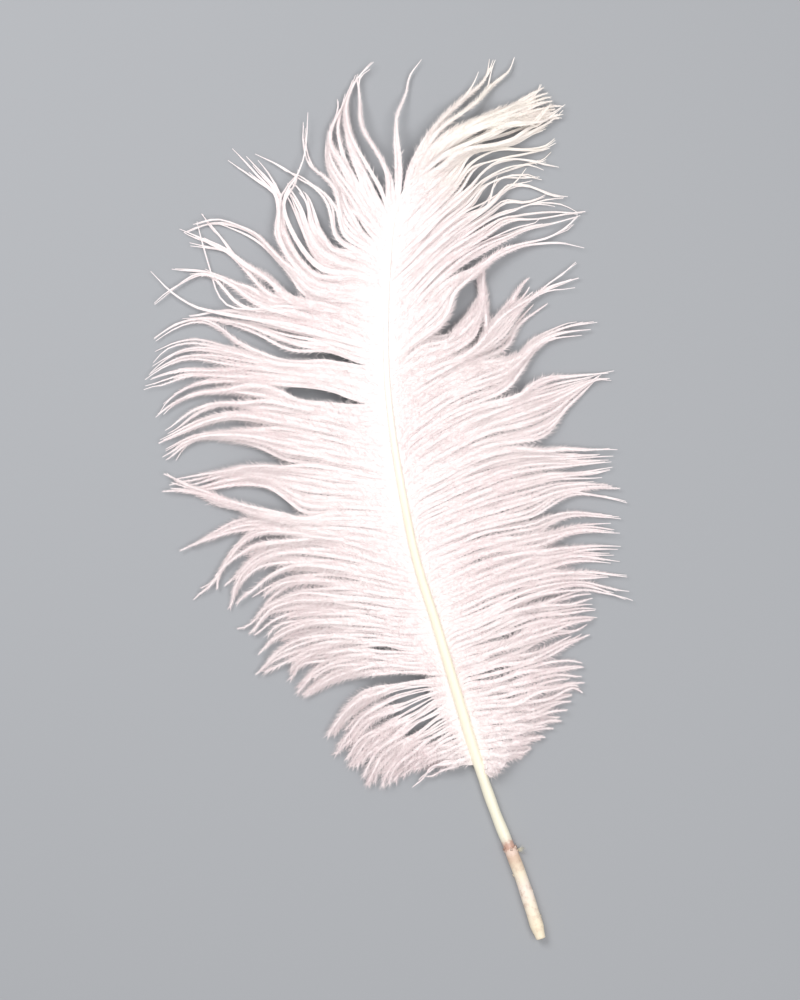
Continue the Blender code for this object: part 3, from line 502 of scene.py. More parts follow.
     91.1, 61, 90.2),
    (60, 0.3, 0.5, 7, 68, 17.2, 77.8, 25.5, 84, 31.5, 88, 36, 90.5, 40, 91.8, 43.5, 93.4, 48, 93.4, 52, 92.7,
     56, 91.7, 60.5, 90.3),
    (62.6, 0, 0.6, 7, 70.2, 17.6, 80.2, 25.5, 86.2, 30, 89.4, 33.5, 91.8, 36.2, 93.9, 39.2, 94.7, 43, 94.6, 47,
     95.7, 51.5, 97.3, 55.5, 98.6),
    (65.4, 0.3, 0.5, 7, 72.6, 17.6, 82.6, 25.2, 88.8, 29.6, 92, 33.2, 95, 36.2, 97.4, 39.2, 99.1, 43, 99.5, 46,
     98.8, 50, 97.6, 53.5, 96.9, 57.5, 96.7),
    (66.4, 0.9, 0.3, 7, 73.6, 17.4, 83.4, 24.9, 89.4, 29.4, 92.7, 32.2, 96, 32.9, 98.2, 33.5, 100.3, 34.4,
     102.8),
    (67.4, 0, 0.6, 7, 74.6, 17.2, 84.4, 24.6, 90.2, 29.4, 93, 32.5, 95.7, 34.8, 97.9, 37.2, 99.4, 40, 99.9, 44,
     101.2, 48.5, 103.6),
    (68.4, 1, 0.3, 7, 75.6, 17, 85.4, 24.2, 91, 29.6, 94, 34, 97, 38.4, 99.7, 41, 102, 43.8, 105.3),
    (69.6, 0.2, 0.6, 7, 76.8, 16.8, 86.2, 23.6, 91.6, 27, 94.8, 28.9, 97.3, 30.8, 99.4, 33.2, 100.9, 36, 101.9,
     39.5, 102.8, 43, 102.7, 46.5, 102.2, 50, 101.6),
    (71.8, 0, 0.5, 7, 79, 16.2, 88, 22.6, 93.2, 26.4, 97, 29, 100, 31, 101.6, 34, 103.4, 37, 104.7, 40, 105.7,
     43, 106.7, 46, 107.8, 49, 109, 52, 111.2),
    (73, 0.9, 0.3, 7.1, 80.2, 16, 88.9, 22.2, 94.1, 26.1, 97.6, 28.8, 100.2, 31.2, 101.8, 35, 103.9, 39, 105.5,
     43.2, 106.3, 46, 106.1, 49.5, 104.9),
    (74.2, 0.4, 0.5, 7.2, 81.4, 15.8, 89.8, 21.8, 95, 25.6, 98.6, 27.5, 101.2, 29, 103.2, 31.2, 105.2, 34, 107,
     38, 107.5, 41, 107.3, 44.5, 106.6, 50, 105.7, 55, 104.7),
    (76.8, 0.1, 0.5, 7.6, 84, 15.6, 91.8, 20.8, 96.8, 23.8, 100.2, 25.9, 103.2, 28.2, 105.2, 30.8, 106.8, 34,
     108.2, 38, 109.2, 42, 109.7, 46, 110.6, 51.5, 111.8),
    (80.4, 0.3, 0.6, 8.4, 88, 15.4, 95.4, 19.8, 100, 22.6, 103.8, 24.6, 107.3, 27.4, 109.5, 31.5, 110.4, 36,
     111, 41, 111.2, 46, 111.3, 51, 111.3),
    (84, 0, 0.6, 9, 92.6, 15.6, 99, 20.4, 104, 23.6, 107.8, 27.4, 110.3, 32, 111.2, 37, 111.4, 41, 111.5, 45,
     111.7, 48.5, 112.4, 53.3, 115.5),
    (88.5, 0.4, 0.6, 11, 98, 16, 102.8, 21, 106.5, 25.5, 109.8, 30, 111.2, 36, 112.3, 41, 113.6, 46, 115.8,
     50.5, 117.4),
    (92, 0, 0.9, 12, 101, 22, 108.3, 31, 111.2, 41, 113.6, 51.5, 117.4),
    (95.5, 0.3, 0.9, 13, 103.3, 22, 109.3, 31, 112.2, 41, 115, 52, 119),
    (99, 0.6, 0.8, 14, 105.2, 23, 110.6, 33, 113.6, 44, 117, 50, 120.2, 57, 124.8),
    (102.5, 0.8, 0.6, 17, 108.3, 25, 112.2, 33, 114.8, 40, 117.4, 46.5, 119.6),
    (105.5, 1.2, 0.4, 20, 110.6, 29, 114.4, 38, 118.6, 44, 119.6, 48.5, 117.8),
)
TIP_LOCKS = (
    (97.5, 0, 0.5, 7, 106, 12, 114.5, 18, 121, 24, 126.3, 29, 132.5, 33.6, 140.4),
    (98.6, 0.3, 0.4, 7.8, 106.5, 13, 115.2, 19, 121.5, 24.5, 127, 27, 131.3, 29.2, 136.2),
    (99.8, 0, 0.4, 8.6, 107, 14, 115.5, 20, 121.6, 26, 127.3, 31, 134, 34.9, 139.4),
    (101, 0.4, 0.5, 10, 108.5, 16, 116.3, 22, 121, 28, 126, 34, 132, 41.7, 139.6),
    (102.2, 0, 0.5, 11.5, 109.5, 17, 116.5, 23, 120.6, 28.5, 124.5, 31, 128.3, 36.5, 134.2),
    (103.6, 0.5, 0.9, 14, 110.7, 22, 118.6, 32, 122.8, 42, 127.8, 49, 132.3),
    (104.8, 0.8, 1.1, 16, 112, 26, 119.3, 36, 123.7, 45, 128.8, 50.8, 131.6),
    (106, 1, 1.2, 18, 112.8, 28, 119.2, 38, 123.7, 46, 128.2, 52.2, 130.2),
    (107.2, 1.1, 1.3, 20, 113.5, 30, 119.1, 40, 123.8, 47, 127, 53.2, 128.4),
    (108.4, 1, 1.2, 22, 114.2, 32, 119.2, 42, 123.6, 48, 125.8, 53.8, 126.7),
    (110.2, 0.8, 1.1, 25, 115.6, 34, 119.6, 43, 122.6, 49, 124.3, 54.2, 125),
    (112.2, 0.6, 0.9, 29, 117, 38, 120.2, 46, 122.2, 54.5, 123.2),
    (114.4, 0.4, 0.6, 33, 118, 41, 120.1, 49, 120.9, 57.2, 121.2),
    (116.2, 0.7, 0.3, 37, 118.4, 44, 119.4, 50, 119.8, 53, 123, 56, 128.2),
)

# Partings, where barbs stand aside and show what lies below: x, y and half of its width at points along the
# middle of each
LEFT_PARTINGS = (
    (22, -84.9, 0.05, 18, -85.9, 0.25, 14.5, -86.8, 0.35, 11.5, -87.6, 0.2),
    (23.5, -83.2, 0.05, 20, -83.9, 0.2, 17, -84.6, 0.1),
    (21.5, -79.1, 0.05, 19, -80.1, 0.15, 17, -80.8, 0.05),
    (14.5, -56.2, 0.1, 10, -56.7, 0.35, 4, -57.1, 0.6, -1, -57.9, 0.9, -6, -58.6, 1, -11, -59.9, 1.3, -16,
     -61.8, 1.8, -20, -64.5, 2.3, -25, -70, 4),
    (14.5, -59.9, 0.1, 9, -60.8, 0.3, 4, -61.9, 0.5, -1, -63.6, 0.45, -6, -65.9, 0.35, -9.5, -68.8, 0.3, -12.3,
     -72.6, 0.2),
    (13.5, -61.2, 0.15, 8, -62.7, 0.4, 3, -64.2, 0.45, -2, -66.4, 0.35, -5.5, -69, 0.2),
    (13.5, -63.5, 0.15, 10, -65.1, 0.5, 5, -67.5, 0.65, 0, -70.1, 0.55, -3, -71.9, 0.5, -5.5, -74, 0.3),
    (16, -66.9, 0.1, 13, -68.5, 0.25, 10.5, -69.5, 0.1),
    (15, -70, 0.1, 11, -72.5, 0.3, 7, -75, 0.3, 3.5, -77.7, 0.1),
    (-10.5, -70.5, 0.2, -13.5, -73.8, 0.6, -17, -77.5, 0.8, -20.5, -81.5, 1.2),
    (-11.5, -78.5, 0.1, -14, -81.8, 0.5, -16.5, -86, 1),
    (3, -48.9, 0.1, -1, -48.3, 0.4, -5.5, -48, 0.2),
    (5, -51, 0.1, 2.5, -50.9, 0.3, 0, -50.6, 0.1),
    (-30.3, -49.8, 0.1, -33, -51.3, 0.3, -36, -53.4, 0.4),
    (-30.8, -52.6, 0.2, -33.5, -54.7, 1.3, -36, -58, 2.4, -37.5, -61, 3.5),
    (-27.8, -53.3, 0.1, -28.6, -55.3, 0.4, -30, -58.5, 0.7),
    (-37.3, -50, 0.1, -39.3, -51.2, 0.5, -42, -53.6, 0.8),
    (-35.3, -39.6, 0.2, -38, -40.6, 0.5, -40.5, -43.5, 1, -44.5, -47, 1.6),
    (-34.3, -36.7, 0.2, -37, -37, 0.5, -39, -39, 0.5, -40.8, -41.5, 0.6),
    (-41.8, -39.8, 0.1, -43.8, -40.8, 0.5, -46.5, -43, 0.9),
    (-29.3, -27.8, 0.1, -32, -29.6, 0.4, -35, -31.5, 0.4, -38.3, -33.6, 0.2),
    (-40.5, -30, 0.2, -43, -32.3, 1.6, -46, -34.8, 2.4, -48, -39, 3.2),
    (-31.8, -24.8, 0.2, -34.5, -25, 0.6, -38, -26.8, 0.5, -41, -29, 0.5, -44, -31.5, 0.4),
    (-35.5, -22.9, 0.2, -38.5, -23.5, 0.8, -42, -26.2, 0.9, -45, -29.5, 0.7),
    (-43.8, -19, 0.2, -47, -19.6, 0.7, -51, -22, 0.9, -54, -24.5, 0.5),
    (-31, -13.2, 0.1, -34.5, -12.6, 0.5, -38, -12.8, 0.6, -42, -13.6, 0.5, -46, -15.2, 0.4, -49.5, -18, 0.3),
    (-45.3, -11, 0.1, -49, -12.9, 1.2, -54, -16.3, 3, -61, -22.5, 5),
    (-41, -6.2, 0.1, -45, -6.1, 0.3, -50, -7.2, 0.3, -56, -9.7, 0.3),
    (-43.8, -5, 0.1, -48, -4.8, 0.7, -54, -5.5, 2.4, -60, -6.6, 4.4, -68, -7, 6.5),
    (-28.7, -5.9, 0.1, -31.5, -3.6, 1.1, -35, -1.5, 2.1, -39, -0.1, 2.6, -44, 1, 2.3, -50, 1.9, 1.5, -56, 2.3,
     0.3),
    (-52, 6, 0.1, -56, 5.4, 0.4, -60, 4.2, 0.4),
    (-55, 7.9, 0.1, -60, 7, 0.4, -65.5, 5.6, 0.3),
    (-34.6, 10.4, 0.1, -38.5, 12.6, 1.1, -42.5, 13.7, 1.8, -47, 14.3, 2.3, -53, 14, 3, -60, 12.8, 3.8, -65, 10,
     3),
    (-42.3, 21.8, 0.1, -44.8, 23.3, 0.4, -48, 24.1, 0.7, -52, 23.9, 0.8, -57, 22.7, 0.6, -61, 20.8, 0.3),
    (-45.3, 27.8, 0.1, -50, 28.8, 0.5, -55, 28.4, 0.5, -61, 26.5, 0.3),
    (-46.8, 30.5, 0.1, -50.5, 31.6, 0.7, -55, 31.8, 0.9, -60, 30.9, 1.2, -66, 28.8, 1.6, -71, 24.5, 2),
    (-52, 34.4, 0.1, -58, 34.8, 0.4, -64, 33.8, 0.5, -70, 31, 0.5),
    (-57.3, 38.8, 0.1, -62, 38.4, 0.4, -66, 36.7, 0.9, -71, 34.5, 1.7, -76, 31, 2.6),
    (-63, 40.5, 0.1, -69, 39.2, 0.3, -75, 37, 0.4),
    (-54.3, 41, 0.1, -58, 42.2, 0.6, -62, 42.9, 0.7, -68, 42.4, 0.4, -73, 40, 0.4),
    (-56, 45.8, 0.1, -63, 46.1, 0.3, -70, 44.6, 0.3),
    (-61.5, 48.8, 0.1, -66, 48.6, 0.4, -72, 46.6, 0.3),
    (-53, 44, 0.1, -54.5, 44.3, 0.3, -56, 44, 0.1),
    (-49.8, 48.5, 0.1, -53, 50.2, 0.9, -57, 52.2, 1.6, -63, 53.1, 1.8, -69, 51.8, 1.4, -75, 48, 0.8),
    (-29.8, 43.8, 0.2, -34, 45.4, 0.9, -38, 47.6, 1.4, -43, 50.2, 1.7, -48, 52.7, 1.3, -53.5, 55.2, 0.3),
    (-24.5, 46.8, 0.1, -27, 47.5, 0.3, -29.3, 48.7, 0.1),
    (-6.5, 41.3, 0.05, -10, 42.6, 0.2, -14, 43.8, 0.5, -18.5, 45, 0.7, -22.5, 46.4, 0.2),
    (-9, 30.3, 0.05, -13, 31.4, 0.4, -19, 32.6, 1.1, -25, 33.2, 1.6, -30, 33.8, 1.3, -34, 35, 0.3),
    (-41.8, 55.8, 0.1, -47, 57.7, 0.4, -51, 58.6, 0.6, -57.5, 59, 0.2),
    (-49.3, 60.8, 0.2, -53, 62.8, 2.3, -57, 64.3, 3.6, -61, 64.6, 3.8, -65.5, 65.3, 2, -70, 65.5, 0.1),
    (-42.5, 60.3, 0.1, -45, 61.8, 0.6, -48, 63.5, 0.7, -52.5, 66.5, 0.2),
    (-35.5, 65.4, 0.1, -37, 66.8, 0.7, -39, 68.8, 0.6, -41.3, 71, 0.1),
    (-44.3, 67.9, 0.1, -47, 70.3, 0.9, -50, 73.5, 1.4, -53.2, 77.2, 0.8),
    (-53.3, 71.2, 0.1, -55, 74.5, 0.8, -58, 78.5, 0.6),
    (-27.3, 62.4, 0.05, -29.3, 64.2, 0.6, -32, 67.2, 1.4, -35, 71.2, 1.7, -40, 76.3, 2.4, -46, 80.6, 2.8, -51,
     84, 1.6, -56, 86, 0.3),
    (-24.5, 57.7, 0.1, -28, 59.6, 0.3, -31.5, 61.4, 0.1),
    (-33.6, 75, 0.1, -36, 78.6, 0.4, -38.3, 82.5, 0.9, -40.5, 88, 2.6, -44, 94, 5),
    (-22.3, 70.8, 0.1, -24.5, 73.3, 0.4, -27.3, 76.8, 0.9, -29.2, 80.5, 1.2, -30.8, 85.5, 1.2, -31.9, 90, 0.9,
     -32.3, 93.9, 0.1),
    (-35.6, 95, 0.1, -35.1, 94, 0.2, -34.9, 93, 0.1),
    (-37.3, 101, 0.1, -39, 103.2, 0.4, -41.2, 106.6, 0.2),
    (-31.2, 99.3, 0.1, -33, 99, 0.5, -36, 101, 0.6),
    (-26.5, 94, 0.1, -28, 95.5, 0.4, -30.3, 97, 0.3),
    (-18, 80, 0.1, -19.3, 83.8, 0.7, -20.6, 88, 1.4, -21.5, 92.5, 1.4, -24.3, 97.3, 1, -29, 100.9, 0.3),
    (-16.8, 93, 0.1, -18.6, 96.7, 0.6, -21.5, 99.9, 1.1, -24.5, 102.3, 1.4, -27.5, 104.8, 0.8),
    (-22, 103.8, 0.1, -22.8, 106.5, 1.3, -22.8, 111, 2.2, -22.6, 118, 2.6, -22, 126, 4),
    (-15.9, 83.8, 0.1, -16.7, 86.5, 0.4, -16.8, 90, 0.1),
    (-8.2, 84.6, 0.1, -8.7, 86.5, 0.3, -9.1, 88.8, 0.1),
    (-16.9, 105.5, 0.1, -17.8, 107.5, 0.3, -18.6, 110, 0.1),
    (-15.4, 110, 0.1, -16.7, 112.5, 0.6, -17.6, 115.5, 0.8, -17.5, 119, 0.2),
    (-13.9, 113.8, 0.1, -14.8, 116.5, 0.6, -15.8, 119.8, 0.2),
    (-14.3, 121, 0.1, -14.9, 123, 0.3, -14.6, 125, 0.1),
    (-0.6, 99.5, 0.1, -2, 103.2, 0.7, -4.3, 107.6, 1, -7, 111.8, 1.1, -9, 115.8, 0.8, -10.3, 120, 0.7, -10.8,
     125, 1, -9.9, 129.5, 0.2),
    (1.1, 103.3, 0.1, 0.3, 106.8, 0.8, -1.3, 111.5, 1.9, -3.3, 117, 3.4, -4, 124, 4.2, -1.5, 133, 5.5),
)
RIGHT_PARTINGS = (
    (42, -79.3, 0.1, 45, -78.9, 0.4, 49, -78.2, 0.7),
    (46.8, -76.2, 0.1, 49, -75.3, 0.5, 52.5, -74.6, 0.7),
    (49.5, -72.7, 0.1, 53, -72, 0.4, 57, -71.9, 0.5),
    (50.5, -69.8, 0.1, 54, -69, 0.5, 58, -68.5, 0.8),
    (52.5, -66.8, 0.1, 55, -66.2, 0.3, 58, -65.5, 0.4),
    (54.3, -65, 0.1, 57, -64.5, 0.5, 60, -63.6, 0.9),
    (55.8, -62.8, 0.1, 58, -62.2, 0.4, 61, -62.8, 0.4),
    (26.5, -56, 0.05, 31, -55.3, 0.2, 36, -54, 0.25, 40, -53, 0.05),
    (30, -57.5, 0.05, 34, -57, 0.25, 38, -56.1, 0.3, 40.5, -55.5, 0.05),
    (34.5, -59.2, 0.05, 38, -58.2, 0.3, 41.3, -57.5, 0.1),
    (31.5, -63, 0.05, 35.5, -62.2, 0.25, 39.5, -61.5, 0.05),
    (37.5, -63.1, 0.05, 41, -62.5, 0.3, 43.8, -61.6, 0.05),
    (44, -65, 0.05, 48, -63.6, 0.25, 51.5, -62.5, 0.05),
    (36, -70, 0.05, 40, -69.7, 0.25, 44, -69.2, 0.05),
    (34.5, -45.5, 0.05, 38, -44.4, 0.3, 43.5, -42.4, 0.05),
    (51, -51.8, 0.1, 55, -51, 0.7, 59, -49.6, 1.9, 65, -48.3, 3.2),
    (61.8, -44.3, 0.2, 63, -42.7, 0.8, 66, -42.5, 1.2),
    (60, -37.3, 0.1, 63, -37, 0.5, 66.5, -37.4, 0.7),
    (58.5, -33.6, 0.1, 60, -32.4, 0.5, 62, -31.4, 0.3),
    (65.5, -27.3, 0.1, 68, -27.3, 0.5, 72, -27.7, 0.9, 78, -28.6, 1.3),
    (55.5, -23.9, 0.1, 58, -23, 0.4, 62, -22.3, 0.5, 66, -22.3, 0.7, 70, -22.7, 0.8, 76, -23.6, 0.9),
    (65.5, -19.3, 0.05, 69, -19, 0.3, 74.5, -18.8, 0.5),
    (61.5, -16.8, 0.05, 67, -16.7, 0.25, 74, -17, 0.4),
    (62, -15.5, 0.05, 67, -15.6, 0.2, 74, -15.9, 0.3),
    (50, -16.5, 0.1, 53, -15, 0.5, 56, -13.8, 0.7, 60, -12.9, 1, 66, -12.7, 1.2, 75, -13.1, 1.3),
    (65.5, -8.6, 0.1, 68.5, -8.5, 0.4, 72.5, -9, 0.6),
    (50.5, -10.1, 0.1, 54, -8.4, 0.6, 58, -7, 0.6, 62, -6.4, 0.5, 67, -6.7, 0.5, 74, -8.2, 0.8),
    (50, -5.8, 0.1, 53, -4.3, 0.7, 56, -2.8, 1.4, 60, -2.1, 1.9, 65, -2.4, 2, 70, -3.2, 1.7, 77, -4.3, 1.1),
    (61.8, 1.5, 0.1, 66, 1.5, 0.5, 70, 1.7, 0.8, 77, 1.6, 1.2),
    (65.5, 4.6, 0.05, 68, 5.1, 0.4, 73, 5.7, 0.6),
    (65, 6.3, 0.05, 69.5, 7.3, 0.4, 73, 8.3, 0.5),
    (57.5, 7.6, 0.05, 61, 8.9, 0.3, 66, 10, 0.3, 72.5, 11.3, 0.4),
    (63.5, 12.4, 0.05, 68, 12.7, 0.3, 73, 12.6, 0.5),
    (65.5, 15.2, 0.05, 69, 15.1, 0.2, 73, 14.9, 0.4),
    (69, 16.3, 0.05, 71, 16.3, 0.3, 74, 16, 0.6),
    (52.5, 16.2, 0.1, 55, 18.6, 1.2, 58, 21.2, 3, 64, 24.5, 5.5, 72, 27.5, 8),
    (29, 18.5, 0.05, 31, 19.8, 0.15, 33.5, 21, 0.05),
    (41.5, 22.9, 0.05, 43.5, 23.7, 0.15, 46, 24.8, 0.05),
    (19, 29, 0.05, 22.5, 31.7, 0.25, 28.5, 34.9, 0.05),
    (57, 27.3, 0.05, 59, 29.8, 0.35, 62.5, 32, 0.1),
    (40.8, 32, 0.1, 41.8, 35, 0.9, 43.5, 37.6, 1.1, 46.5, 40.8, 1.8, 49, 43.7, 2.7, 53, 45.8, 3.7, 60, 46.6, 4,
     70, 48, 5),
    (52, 50.7, 0.1, 55, 51.8, 0.4, 60, 52.8, 0.6, 68, 52.7, 0.8),
    (40.5, 45.2, 0.1, 41.9, 48.5, 1, 43.2, 52, 1.5, 46, 55.2, 2.4, 50, 57.8, 3, 56, 61.5, 3.4, 62, 63, 3.6),
    (23.3, 45, 0.05, 26, 47.7, 0.5, 28, 50.3, 0.7, 29, 53, 0.6, 29.4, 56.5, 0.1),
    (19, 49.8, 0.05, 20.3, 53.5, 0.3, 21.6, 57, 0.9, 23.3, 60.3, 1.5, 24.6, 63.8, 2.2, 26.3, 67, 1.8, 27.8, 70,
     0.2),
    (21.7, 66.5, 0.05, 23.5, 68.4, 0.3, 25.5, 70.1, 0.1),
    (33, 57.4, 0.1, 33.7, 60, 1.3, 34.8, 64, 2.5, 36.3, 69, 3.9, 42, 73.3, 3.9, 52, 76.5, 3.4, 62, 78, 1.8),
    (40.3, 62.8, 0.1, 42.5, 66, 0.7, 45, 69.3, 0.9),
    (43.3, 64.5, 0.1, 45.5, 66.6, 0.7, 48.5, 69.8, 1.8, 53, 74, 2.6),
    (50.3, 67.6, 0.1, 54, 69.5, 0.8, 58, 71.7, 1.4, 63, 74, 2.2),
    (49.5, 65.6, 0.1, 54, 67.3, 0.5, 60, 68.4, 1),
    (44.3, 58.2, 0.3, 46.5, 60.5, 0.9, 49.5, 62.7, 0.9, 54, 64.8, 1),
    (22, 71.3, 0.2, 24.5, 73, 0.7, 27, 74.9, 0.9, 29.3, 77, 0.2),
    (31.2, 76.1, 0.1, 32.3, 78.2, 0.6, 35, 80.2, 0.2),
    (38.2, 79.8, 0.1, 41.5, 82.3, 1, 46, 84.3, 1.3, 51, 85.4, 1.2, 57, 87.2, 0.5),
    (50.5, 81.2, 0.1, 54, 82.7, 0.9, 60, 84, 2.6, 66, 85, 4),
    (35.2, 84.5, 0.1, 37.5, 86.2, 0.9, 41, 87.2, 0.8, 47, 88.3, 0.4, 56, 89.4, 0.6),
    (41, 89.5, 0.05, 46, 89.9, 0.4, 54, 90.5, 0.2),
    (40.3, 90.6, 0.1, 43, 91.9, 0.9, 48, 92.4, 0.6, 55, 91.6, 0.2),
    (35.4, 91.6, 0.1, 37.8, 93.1, 0.9, 41, 93.4, 0.4),
    (34.8, 94.1, 0.05, 37, 96.1, 0.4, 39.5, 97, 1.3, 43, 97, 1.9, 47, 96.9, 0.9, 50, 97.2, 0.1),
    (52.5, 96.9, 0.1, 56, 97.6, 0.8, 60, 97.6, 1.2),
    (30.5, 93.4, 0.2, 30.8, 96, 1.2, 31.7, 98.2, 1, 32.7, 100, 0.1),
    (33, 97.4, 0.1, 34.2, 99.2, 0.8, 36.2, 101, 0.2),
    (37.4, 100, 0.1, 39.5, 101.4, 0.8, 42.5, 101.7, 0.6, 44.8, 102, 0.1),
    (28.7, 99.4, 0.1, 29.6, 101.4, 0.4, 31.5, 103.2, 1, 34, 104.9, 1, 38, 106.4, 0.8, 42.5, 107.2, 0.3),
    (29.8, 99.6, 0.05, 31.5, 101, 0.4, 34, 102.4, 0.6, 36.5, 103.4, 0.2),
    (40, 103.8, 0.1, 43, 104.8, 0.9, 47, 104.4, 1, 53, 102.8, 1.6),
    (27.2, 103.3, 0.1, 29.5, 105, 0.7, 32.5, 106.8, 0.2),
    (26.2, 99.9, 0.1, 26.6, 101.8, 0.5, 28.2, 103.4, 0.2),
    (24.2, 105.3, 0.05, 25.5, 107.4, 0.5, 28.6, 109.1, 0.3),
    (29.8, 106.9, 0.05, 32, 108.5, 0.9, 34.8, 109.6, 0.8, 39, 110.3, 0.4, 44, 110.4, 0.1),
    (42, 108.4, 0.1, 45, 109.2, 0.6, 49, 110.3, 0.4, 51.5, 111.5, 0.2),
    (40.3, 111.7, 0.1, 44, 112.9, 1, 48, 114.4, 1.8, 52.5, 116.6, 1.3),
    (13.9, 100.4, 0.05, 15.5, 101.7, 0.3, 17, 103.3, 0.05),
    (13.5, 104, 0.1, 16, 106.3, 0.6, 18.5, 108.8, 0.1),
    (21.3, 110.1, 0.05, 23.3, 111.7, 0.4, 26.3, 113, 0.1),
    (29, 112.2, 0.2, 32.5, 113.3, 0.6, 35.5, 114.4, 0.6, 37.5, 115.4, 1.1, 40.5, 117.4, 1.3, 43.5, 118.5, 0.9,
     46.5, 118.7, 0.3),
    (45.5, 119.4, 0.05, 48, 119, 0.4, 50.5, 119.7, 0.1),
    (52.5, 121.4, 0.05, 54, 121.9, 0.3, 57, 122.8, 1),
)
TIP_PARTINGS = (
    (24.8, 115.1, 0.05, 29.5, 116.8, 0.4, 34.8, 118, 0.05),
    (39.3, 120.9, 0.05, 41.5, 121.8, 0.4, 44.3, 122.4, 0.05),
    (41.5, 122.9, 0.05, 44.5, 123.5, 0.3, 48.7, 123.6, 0.05),
    (50, 124.6, 0.05, 52, 124.3, 0.4, 55.5, 124, 0.8),
    (49, 126, 0.05, 52, 125.9, 0.25, 55, 125.8, 0.4),
    (50.5, 128.1, 0.05, 52, 127.7, 0.25, 55, 127.5, 0.4),
    (50.8, 129.8, 0.05, 52, 129.4, 0.25, 55, 129.5, 0.4),
    (15, 116, 0.05, 18.5, 119.3, 0.3, 24.5, 124.8, 0.5, 28, 128, 0.6, 30.8, 130.2, 0.1),
    (12.5, 110.8, 0.05, 15.5, 115.7, 0.3, 19.5, 119.4, 0.5, 24, 121.6, 1, 30, 125, 1.8, 36, 129, 3, 44, 134,
     4.5),
    (28.3, 131.4, 0.05, 29.3, 133.8, 0.6, 30.5, 137, 1),
    (30, 130.6, 0.05, 32.5, 133.2, 0.7, 37, 138.5, 2.4),
)

# --- shapes of lines ---


def ease(t):
    """A smooth step: 3t^2 - 2t^3 between 0 and 1, and flat outside."""
    t = np.clip(t, 0.0, 1.0)
    return t * t * (3.0 - 2.0 * t)


def curve_through(points, count):
    """A Catmull-Rom curve through the points, cut into `count` points at equal distances along it."""
    p = np.array(points, float)
    p = np.vstack([2 * p[0] - p[1], p, 2 * p[-1] - p[-2]])
    at = np.linspace(0, len(p) - 3, FINER * count)
    i = np.minimum(at.astype(int), len(p) - 4)
    t = (at - i)[:, None]
    a, b, c, d = p[i], p[i + 1], p[i + 2], p[i + 3]
    bend = 2 * a - 5 * b + 4 * c - d
    twist = 3 * b - a - 3 * c + d
    line = 0.5 * (2 * b + (c - a) * t + bend * t**2 + twist * t**3)
    along = np.concatenate([[0.0], np.cumsum(np.linalg.norm(np.diff(line, axis=0), axis=1))])
    even = np.linspace(0.0, along[-1], count)
    return np.stack([np.interp(even, along, column) for column in line.T], axis=1)


def unit(v):
    """Directions at length 1; a vector of no length stays as it is."""
    return v / np.maximum(np.linalg.norm(v, axis=-1, keepdims=True), 1e-9)


def side_of(ahead):
    """The level direction to the right of each direction of travel."""
    return unit(np.stack([ahead[..., 1], -ahead[..., 0], np.zeros(ahead.shape[:-1])], axis=-1))


def lengths_of(lines):
    """The length of each line in (line, station, axis)."""
    return np.linalg.norm(np.diff(lines, axis=1), axis=2).sum(axis=1)


def read_along(lines, rows, share):
    """Points at a share of the way along rows of evenly cut lines, by straight interpolation.

    lines is (rows, stations, values); rows and share have one shape, and the answer adds values to it.
    """
    last = lines.shape[1] - 1
    at = np.clip(share, 0.0, 1.0) * last
    low = np.minimum(at.astype(int), last - 1)
    part = (at - low)[..., None]
    return lines[rows, low] * (1.0 - part) + lines[rows, low + 1] * part


class Shaft:
    """The shaft's centreline, width and underside, as functions of the share of its length."""

    def __init__(self, quill_width, tip_width):
        self.line = curve_through(SHAFT_PATH, SHAFT_STATIONS)
        self.share = np.linspace(0.0, 1.0, SHAFT_STATIONS)
        self.length = np.linalg.norm(np.diff(self.line, axis=0), axis=1).sum()
        self.quill_width = quill_width
        self.tip_width = tip_width

    def share_at(self, y):
        """The share of its length at which the shaft passes a place along Y."""
        return np.interp(y, self.line[:, 1], self.share)

    def centre(self, share):
        """Its centre seen from above."""
        return np.stack([np.interp(share, self.share, column) for column in self.line.T], axis=-1)

    def width(self, share):
        """Falls evenly from the quill's width to the tip's."""
        return self.quill_width + (self.tip_width - self.quill_width) * share

    def underside(self, share):
        """The quill lies on the surface, the barbs lift the middle, and the tip droops a little."""
        rise = SHAFT_LIFT * ease((share - QUILL_LIES_TO) / SHAFT_RISES_OVER)
        droop = ease((share - SHAFT_DROOPS_FROM) / (1.0 - SHAFT_DROOPS_FROM))
        return rise - (SHAFT_LIFT - SHAFT_TIP_LIFT) * droop

    def middle(self, share):
        """Its centre, with the height above the surface."""
        height = self.underside(share) + self.width(share) / 2
        return np.concatenate([self.centre(share), height[:, None]], axis=1)


# --- meshes ---


def put_mesh(name, points, triangles, values, material, smooth):
    """An object at the origin from points in millimetres, triangles and named values of each point."""
    mesh = bpy.data.meshes.new(name)
    mesh.vertices.add(len(points))
    mesh.vertices.foreach_set("co", (points * MM).astype(np.float32).ravel())
    mesh.loops.add(3 * len(triangles))
    mesh.loops.foreach_set("vertex_index", triangles.astype(np.int32).ravel())
    mesh.polygons.add(len(triangles))
    mesh.polygons.foreach_set("loop_start", np.arange(0, 3 * len(triangles), 3, dtype=np.int32))
    mesh.polygons.foreach_set("use_smooth", np.full(len(triangles), smooth))
    mesh.update(calc_edges=True)
    for key, numbers in values.items():
        mesh.attributes.new(key, "FLOAT", "POINT").data.foreach_set("value", numbers.astype(np.float32))
    mesh.materials.append(material)
    made = bpy.data.objects.new(name, mesh)
    bpy.context.scene.collection.objects.link(made)
    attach(made, BODY)
    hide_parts(ALL_OF_IT)
    return made


